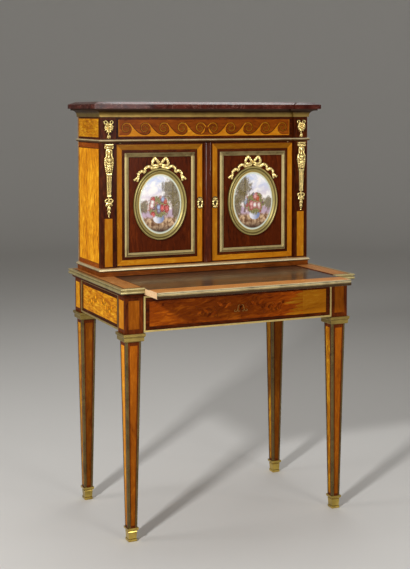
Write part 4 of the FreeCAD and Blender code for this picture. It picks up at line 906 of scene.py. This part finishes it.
def chute_casting():
    """A draped term on a fluted sheath above a drop of leaves and husks; its foot is at z 0."""
    chute = Lumps()
    chute.block((-13, -11, 214), (13, 0, 218))
    chute.block((-11.5, -9.5, 211.5), (11.5, 0, 214.5))
    chute.ball((0, -5, 208), (10, 6.5, 5))
    for way in (-1, 1):
        chute.rod([(way * x, -6.5, z, r) for x, z, r in (
            (3, 212, 1.6), (9, 212.5, 1.9), (13, 209.5, 1.8), (12.6, 205.6, 1.6), (9.6, 205, 1.5),
            (9.4, 208, 1.4))], 1.6)
        chute.rod([(way * x, y, z, r) for x, y, z, r in (
            (3, -8, 203.5, 2.4), (7, -7, 199, 3), (8.2, -5.5, 191, 2.8), (7.6, -6, 184, 2.4),
            (10.5, -6.5, 178, 2.4))], 0.9)
        for x, z, size in ((11.2, 175, 3.4), (12.2, 169, 3.2), (12.2, 162.5, 3.2), (11.6, 156, 3.1), (10.8, 149.5, 2.9),
                           (10, 143.5, 2.6), (9.2, 138, 2.2), (8.6, 133, 1.7)):
            chute.ball((way * x, -5.5, z), (size, 3.2, size * 1.15), way * 25)
        chute.rod([(way * x, y, z, r) for x, y, z, r in (
            (11, -7, 172, 2.6), (9, -9.5, 166, 2.7), (4, -11, 160.5, 2.4), (0, -11.6, 160, 2.2))], 0.9)
        for z, reach, size in ((150, 8.5, 3.0), (143, 7.6, 2.7), (136, 6.6, 2.4)):
            chute.rod([(0, -9, z + 5, size * 0.8), (way * reach * 0.5, -9.6, z + 1, size),
                       (way * reach, -7.5, z - 4, size * 0.35)], 0.7)
    chute.ball((0, -6.5, 194.5), (6.0, 6.0, 8.2))
    chute.ball((0, -7.0, 201), (7.2, 5.4, 4.2))
    chute.rod([(0, -11.6, 197.5, 0.8), (0, -13.0, 193.6, 1.2), (0, -11.6, 192.4, 0.9)], 0.9, 8, 4)
    chute.ball((0, -11.2, 189.6), (2.0, 1.2, 0.8))
    chute.rod([(0, -5.5, 189, 4), (0, -5.5, 181, 3.6), (0, -5.5, 176, 6)], 0.9)
    chute.ball((0, -5.5, 172), (11, 6, 6.5))
    chute.ball((0, -5.5, 157), (8.6, 6.6, 18))
    chute.block((-8.6, -9.4, 126.5), (8.6, 0, 131.5))
    chute.block((-7.4, -8.0, 123.5), (7.4, 0, 127))
    for x0, x1, radius in ((-5.6, -4.4, 2.3), (0, 0, 2.4), (5.6, 4.4, 2.3)):
        chute.rod([(x0, -5, 125, radius), (x1, -4.6, 66, radius * 0.85)], 1.3, 12, 2)
    chute.rod([(0, -2.2, 126, 7.4), (0, -2.0, 64, 5.8)], 0.55, 14, 2)
    chute.block((-6.6, -7.6, 62), (6.6, 0, 66.5))
    chute.rod([(0, -3, 63, 4.4), (0, -3.2, 58, 2.2), (0, -3.4, 53, 2.4), (0, -3.6, 48, 4)])
    for way in (-1, 1):
        chute.rod([(way * x, -4.2, z, r) for x, z, r in (
            (1, 54, 1.6), (6, 55.5, 2.2), (10.5, 52.5, 2.3), (11.4, 47.5, 1.9), (8.6, 45.5, 1.5),
            (8.0, 48.2, 1.1))], 1.1)
        chute.rod([(way * x, -4.4, z, r) for x, z, r in (
            (1.5, 50, 2), (5.5, 44, 2.6), (9, 38.5, 2.0), (10.8, 34.5, 0.8))], 0.9)
    for husk in ((41, 15, 17, 7), (28, 12.5, 15, 6.5), (16.5, 10, 12, 6)):
        chute.husk(*husk)
    chute.ball((0, -3.6, 8), (2.6, 2.6, 3.4))
    chute.ball((0, -3.2, 2.8), (1.9, 1.9, 2.6))
    return chute.cast("chute", 0.75)


FRIEZE_MOUNT_HEIGHT = 54 * MM


def frieze_mount_casting():
    """An open bunch of leaves and berries under two ring scrolls, with a small drop; its foot is at z 0."""
    mount = Lumps()
    mount.rod([(0, -3, 46, 2.2), (0, -4, 32, 2.6), (0, -3.4, 16, 1.6), (0, -3.4, 11, 1.8)])
    for way in (-1, 1):
        ring = winding((9.4, 48.2), (4.6, 4.6), (0, 360), 13)
        mount.rod([(way * x, -4, z, 1.4) for x, z in ring], 1.1, 8, 3)
        mount.rod([(0, -4.5, 44, 1.8), (way * 3.5, -5, 45.5, 1.7), (way * 6, -4.2, 46, 1.4)], 0.9)
        for z, reach, size in ((40.5, 12, 2.6), (33.5, 14, 2.7), (26.5, 12, 2.6), (20.5, 7.5, 2.2)):
            mount.rod([(way * 1.5, -5, z - 1, size * 0.7), (way * reach * 0.55, -8, z + 1, size),
                       (way * reach, -5, z - 2.5, size * 0.5)], 0.8)
        for x, z in ((5.4, 36.6), (11.6, 37), (6, 29.8), (11.2, 29.6), (4.6, 23.4)):
            mount.ball((way * x, -7.5, z), (1.9, 1.9, 1.9))
    for z in (42, 35.5, 29, 22.5):
        mount.ball((0, -8.6, z), (2.6, 2.2, 2.4))
    mount.husk(6.5, 11, 12, 6)
    return mount.cast("frieze_mount", 0.5, 1)


def hang_corner_mounts():
    """A chute on each pilaster and a frieze mount on the block above it."""
    low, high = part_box("corner_mounts")
    pilasters = [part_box(f"pilaster_{hand}") for hand in HANDS]
    places = [[((near.x + far.x) / 2, near.y, height) for near, far in pilasters]
              for height in (low.z, high.z - FRIEZE_MOUNT_HEIGHT)]
    strike("corner_mount_castings", zip((chute_casting(), frieze_mount_casting()), places), "desk", "gilt_bronze",
           ["corner_mounts"])


OVAL_HALF = (70, 92)  # half width and half height of the opening
OVAL_PROFILE = (  # out from the opening, proud of the door, and how much of a hollow it is
    (0, 0, 0), (0, 3.2, 0), (0.8, 3.5, 0), (3, 4.9, 0), (5, 6.4, 0), (5.8, 6.7, 0), (6.6, 6.4, 0.3), (7.4, 5.6, 0.8),
    (8.6, 5.1, 1), (9.8, 5.4, 1), (10.7, 6.8, 0.6), (11.6, 8.4, 0.1), (13, 9, 0), (14.6, 8.6, 0), (15.7, 7.2, 0.1),
    (16, 5, 0.5), (16, 0, 1))


def oval_frame_casting(count=144):
    """A moulded oval frame with a hollow between two rounded edges. Its middle is at the zero, its back at y 0."""
    ring = bmesh.new()
    mark = ring.verts.layers.float.new("hollow")
    wide, tall = OVAL_HALF
    rows = []
    for angle in (2 * math.pi * number / count for number in range(count)):
        spot = Vector((wide * math.cos(angle), 0, tall * math.sin(angle)))
        out = Vector((math.cos(angle) / wide, 0, math.sin(angle) / tall)).normalized()
        rows.append([])
        for reach, proud, deep in OVAL_PROFILE:
            vert = ring.verts.new((spot + out * reach - Vector((0, proud, 0))) * MM)
            vert[mark] = deep
            rows[-1].append(vert)
    join_rows(ring, (rows + rows[:1])[::-1])
    bmesh.ops.recalc_face_normals(ring, faces=ring.faces)
    return mesh_from("oval_frame", ring)


RIBBONS = (  # width, then places x, -y, z along one side of the bow: its loop, then the tail down the oval's shoulder
    (7, (2, 4, 1), (8, 5, 8), (14, 6, 15), (18.5, 5.5, 20)),
    (7, (17, 4.5, 20), (22.5, 5.5, 13), (25.5, 5.5, 4), (24.5, 4.5, -3)),
    (6, (26, 4, -4), (18, 5, -4), (9, 5, -3), (2, 4, -1)),
    (6.5, (2, 3, -4), (9, 4, -8.5), (18, 4, -11), (27, 4.5, -13)),
    (7.5, (25.5, 4, -14), (32, 5.5, -8.5), (39, 6, -7), (46, 4.5, -10.5)),
    (6.5, (45, 4, -8.5), (49, 5, -14), (48.5, 4.5, -20), (51, 4, -25)),
    (7.5, (49.5, 4, -26), (55, 5.5, -22), (61, 6, -21), (67.5, 4.5, -25.5)),
    (6.5, (66.5, 4, -23.5), (70.5, 5, -29), (70, 4.5, -35), (72, 4, -40)),
    (6, (71, 4, -37.5), (76, 5, -41), (80.5, 4.5, -44.5), (85, 3.5, -48)),
    (5.5, (71, 4, -38), (71.5, 4.5, -44), (73.5, 3.5, -52)))


def bow_casting():
    """A ribbon bow: two open loops on a knot, and tails that ripple down the oval. The knot is at the zero."""
    bow = Lumps()
    for way in (-1, 1):
        for width, *places in RIBBONS:
            bow.rod([(way * x, -y, z, 0.65 * width) for x, y, z in places], 0.34)
    bow.ball((0, -4.5, 0), (5.0, 5.0, 5.6))
    for x in (-1.8, 1.8):
        bow.rod([(x, -6.5, 4.5, 1.4), (x * 1.2, -9.3, 0, 1.6), (x, -6.5, -4.5, 1.4)], 1.0, 8, 4)
    return bow.cast("ribbon_bow", 0.7)


def key_plate_casting():
    """A pierced oval escutcheon with scrolls round it. The keyhole is at the zero."""
    plate = Lumps()
    turns = np.linspace(0, 2 * math.pi, 17)
    plate.rod([(6.0 * math.cos(a), -2.6, -2 + 9.5 * math.sin(a), 1.5) for a in turns], 0.8, 8, 2)
    for way in (-1, 1):
        for turn in (-1, 1):
            for y, scroll in ((-2.4, ((1, 10, 1.2), (3.5, 13, 1.5), (6, 12.6, 1.4), (5.8, 9.8, 1.2))),
                              (-2.2, ((6, 6.5, 1.2), (8.4, 5.5, 1.3), (8.6, 2.6, 1.2), (7.2, 1.6, 1.0)))):
                plate.rod([(way * x, y, turn * z - 1, r) for x, z, r in scroll], 0.8, 8, 4)
    for turn in (-1, 1):
        drop = ((-2.4, 9.5, 1.8), (-2.8, 14, 2.2), (-2.4, 17.4, 0.8))
        plate.rod([(0, y, turn * z - 1, r) for y, z, r in drop], 0.8, 8, 4)
    return plate.cast("key_plate", 0.45)


def beading_tree():
    """Beads set edge to edge along an upright oval."""
    tree = bpy.data.node_groups.new("oval_beading", "GeometryNodeTree")
    for name, kind in (("Half Width", "Float"), ("Half Height", "Float"), ("Middle", "Vector"), ("Beads", "Int"),
                       ("Bead Radius", "Float"), ("Finish", "Material")):
        tree.interface.new_socket(name=name, in_out="INPUT", socket_type=f"NodeSocket{kind}")
    tree.interface.new_socket(name="Geometry", in_out="OUTPUT", socket_type="NodeSocketGeometry")
    given = tree.nodes.new("NodeGroupInput").outputs
    circle = add(tree, "GeometryNodeCurvePrimitiveCircle", {"Radius": 1.0, "Resolution": 256})
    shape = add(tree, "ShaderNodeCombineXYZ", {0: given["Half Width"], 1: given["Half Height"], 2: 1.0})
    oval = add(tree, "GeometryNodeTransform", {"Geometry": circle.outputs["Curve"], "Scale": shape.outputs[0]})
    upright = add(tree, "GeometryNodeTransform", {"Geometry": oval.outputs[0], "Rotation": (math.pi / 2, 0.0, 0.0),
                                                  "Translation": given["Middle"]})
    spaced = add(tree, "GeometryNodeResampleCurve", {"Curve": upright.outputs[0], "Count": given["Beads"]})
    bead = add(tree, "GeometryNodeMeshIcoSphere", {"Radius": given["Bead Radius"], "Subdivisions": 2})
    row = add(tree, "GeometryNodeInstanceOnPoints", {"Points": spaced.outputs[0], "Instance": bead.outputs["Mesh"]})
    solid = add(tree, "GeometryNodeRealizeInstances", {"Geometry": row.outputs[0]})
    dressed = add(tree, "GeometryNodeSetMaterial", {"Geometry": solid.outputs[0], "Material": given["Finish"]})
    tree.links.new(dressed.outputs[0], tree.nodes.new("NodeGroupOutput").inputs[0])
    return tree


def grow(name, tree, inputs):
    """The plain mesh that a tree makes from its named inputs."""
    seed = show(name, bpy.data.meshes.new(name))
    modifier = seed.modifiers.new(name, "NODES")
    modifier.node_group = tree
    for item in tree.interface.items_tree:
        if item.item_type == "SOCKET" and item.in_out == "INPUT" and item.name in inputs:
            modifier[item.identifier] = inputs[item.name]
    evaluated = seed.evaluated_get(bpy.context.evaluated_depsgraph_get())
    mesh = bpy.data.meshes.new_from_object(evaluated)
    seed.modifiers.remove(modifier)
    bpy.data.objects.remove(seed)
    return mesh


FIELD_DEPTH = 3 * MM  # how far the field of a door lies behind its face
KNOT_RISE = 29 * MM  # from the opening of the oval to the knot of its bow
BEAD_ROW_OUT = 13.4  # out from the opening
BEAD_ROW_PROUD = 8.2 * MM
KEYHOLE_SIDE = 25.5 * MM  # from the middle of the desk


def dress_doors():
    """Oval frames with their bows and beading, and escutcheons, on both doors."""
    oval, bow, plate, beading = oval_frame_casting(), bow_casting(), key_plate_casting(), beading_tree()
    wide, tall = OVAL_HALF
    for hand, sign in HANDS.items():
        body = f"{hand}_door"
        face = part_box(f"door_{hand}")[0].y
        field = face + FIELD_DEPTH
        low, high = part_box(f"door_{hand}_plaque")
        middle = (low + high) / 2
        strike(f"oval_frame_{hand}", [(oval, [(middle.x, field, middle.z)])], body, "pale_bronze",
               [f"door_{hand}_oval_frame"])
        knot = middle.z + tall * MM + KNOT_RISE
        strike(f"ribbon_bow_{hand}", [(bow, [(middle.x, field, knot)])], body, "gilt_bronze")
        beads = grow(f"oval_beading_{hand}", beading, {
            "Half Width": (wide + BEAD_ROW_OUT) * MM, "Half Height": (tall + BEAD_ROW_OUT) * MM,
            "Middle": (middle.x, field - BEAD_ROW_PROUD, middle.z), "Beads": 210, "Bead Radius": 1.35 * MM,
            "Finish": finishes["pale_bronze"]})
        show_piece(f"oval_beading_{hand}", beads, body, "pale_bronze", smooth=True)
        strike(f"key_plate_{hand}", [(plate, [(sign * KEYHOLE_SIDE, face - 1 * MM, middle.z)])], body, "gilt_bronze")


FLOOR_REACH, SWEEP = 6.5, 2.5  # metres from the desk to where the floor turns up, and how widely it turns
LAMPS = (  # name, place, aim, width, height, power
    ("key", (-2.9, -2.5, 2.5), (0, 0, 0.7), 0.3, 0.3, 130),
    ("left_fill", (-3.6, 0.6, 1.9), (0, 0.1, 0.7), 1.2, 1.2, 25),
    ("front_fill", (0.9, -4.6, 1.35), (0, 0, 0.7), 1.4, 1.4, 52),
    ("overhead", (0.3, 0.4, 3.6), (0, 0, 0.7), 2.0, 2.0, 25),
    ("right_strip", (2.4, -2.1, 1.0), (0, 0, 0.9), 0.3, 0.3, 6),
    ("rim", (1.25, 2.1, 3.1), (0, 0.05, 1.2), 1.6, 0.4, 12))


def set_stage():
    """A pale round floor whose far rim sweeps up all round, soft lamps and the camera."""
    dish = bmesh.new()
    profile = [(reach, 0.0) for reach in (0.5, 2.0, 4.0, FLOOR_REACH)]
    profile += [(FLOOR_REACH + SWEEP * math.sin(a), SWEEP - SWEEP * math.cos(a))
                for a in np.linspace(0.12, math.pi / 2, 12)]
    profile += [(FLOOR_REACH + SWEEP, 6.0)]
    turns = np.linspace(0, 2 * math.pi, 65)[:-1]
    rows = [[dish.verts.new((reach * math.cos(a), reach * math.sin(a), z)) for a in turns] for reach, z in profile]
    dish.faces.new(rows[0])
    join_rows(dish, rows[::-1])
    mesh = mesh_from("studio_floor", dish)
    mesh.polygons.foreach_set("use_smooth", [True] * len(mesh.polygons))
    floor = show("studio_floor", mesh)
    paint = bpy.data.materials.new("studio_paint")
    paint.use_nodes = True
    shader = paint.node_tree.nodes["Principled BSDF"]
    shader.inputs["Base Color"].default_value = colour(214, 212, 208)
    shader.inputs["Roughness"].default_value = 0.7
    mesh.materials.append(paint)
    for name, place, aim, width, height, power in LAMPS:
        lamp = bpy.data.lights.new(name, "AREA")
        lamp.shape = "RECTANGLE"
        lamp.size, lamp.size_y = width, height
        lamp.energy = power
        stand = show(name, lamp)
        stand.location = place
        stand.rotation_euler = (Vector(aim) - Vector(place)).to_track_quat("-Z", "Y").to_euler()
    world = bpy.data.worlds.new("studio")
    world.use_nodes = True
    sky = world.node_tree.nodes["Background"]
    sky.inputs["Color"].default_value = (0.92, 0.88, 0.82, 1.0)
    sky.inputs["Strength"].default_value = 0.14
    bpy.context.scene.world = world
    lens = bpy.data.cameras.new("camera")
    lens.lens = 72.13
    lens.sensor_width = 36.0
    lens.shift_y = -0.2
    camera = show("camera", lens)
    camera.location = (-1.453, -3.114, 1.206)
    camera.rotation_euler = (math.radians(90 - 2.88), 0.0, math.radians(-24.47))
    bpy.context.scene.camera = camera
    bpy.context.scene.view_settings.view_transform = "Standard"


dress_frame()
veneer_legs()
veneer_table()
veneer_drawer()
veneer_cabinet()
press_leaves()
hang_corner_mounts()
dress_doors()
set_stage()
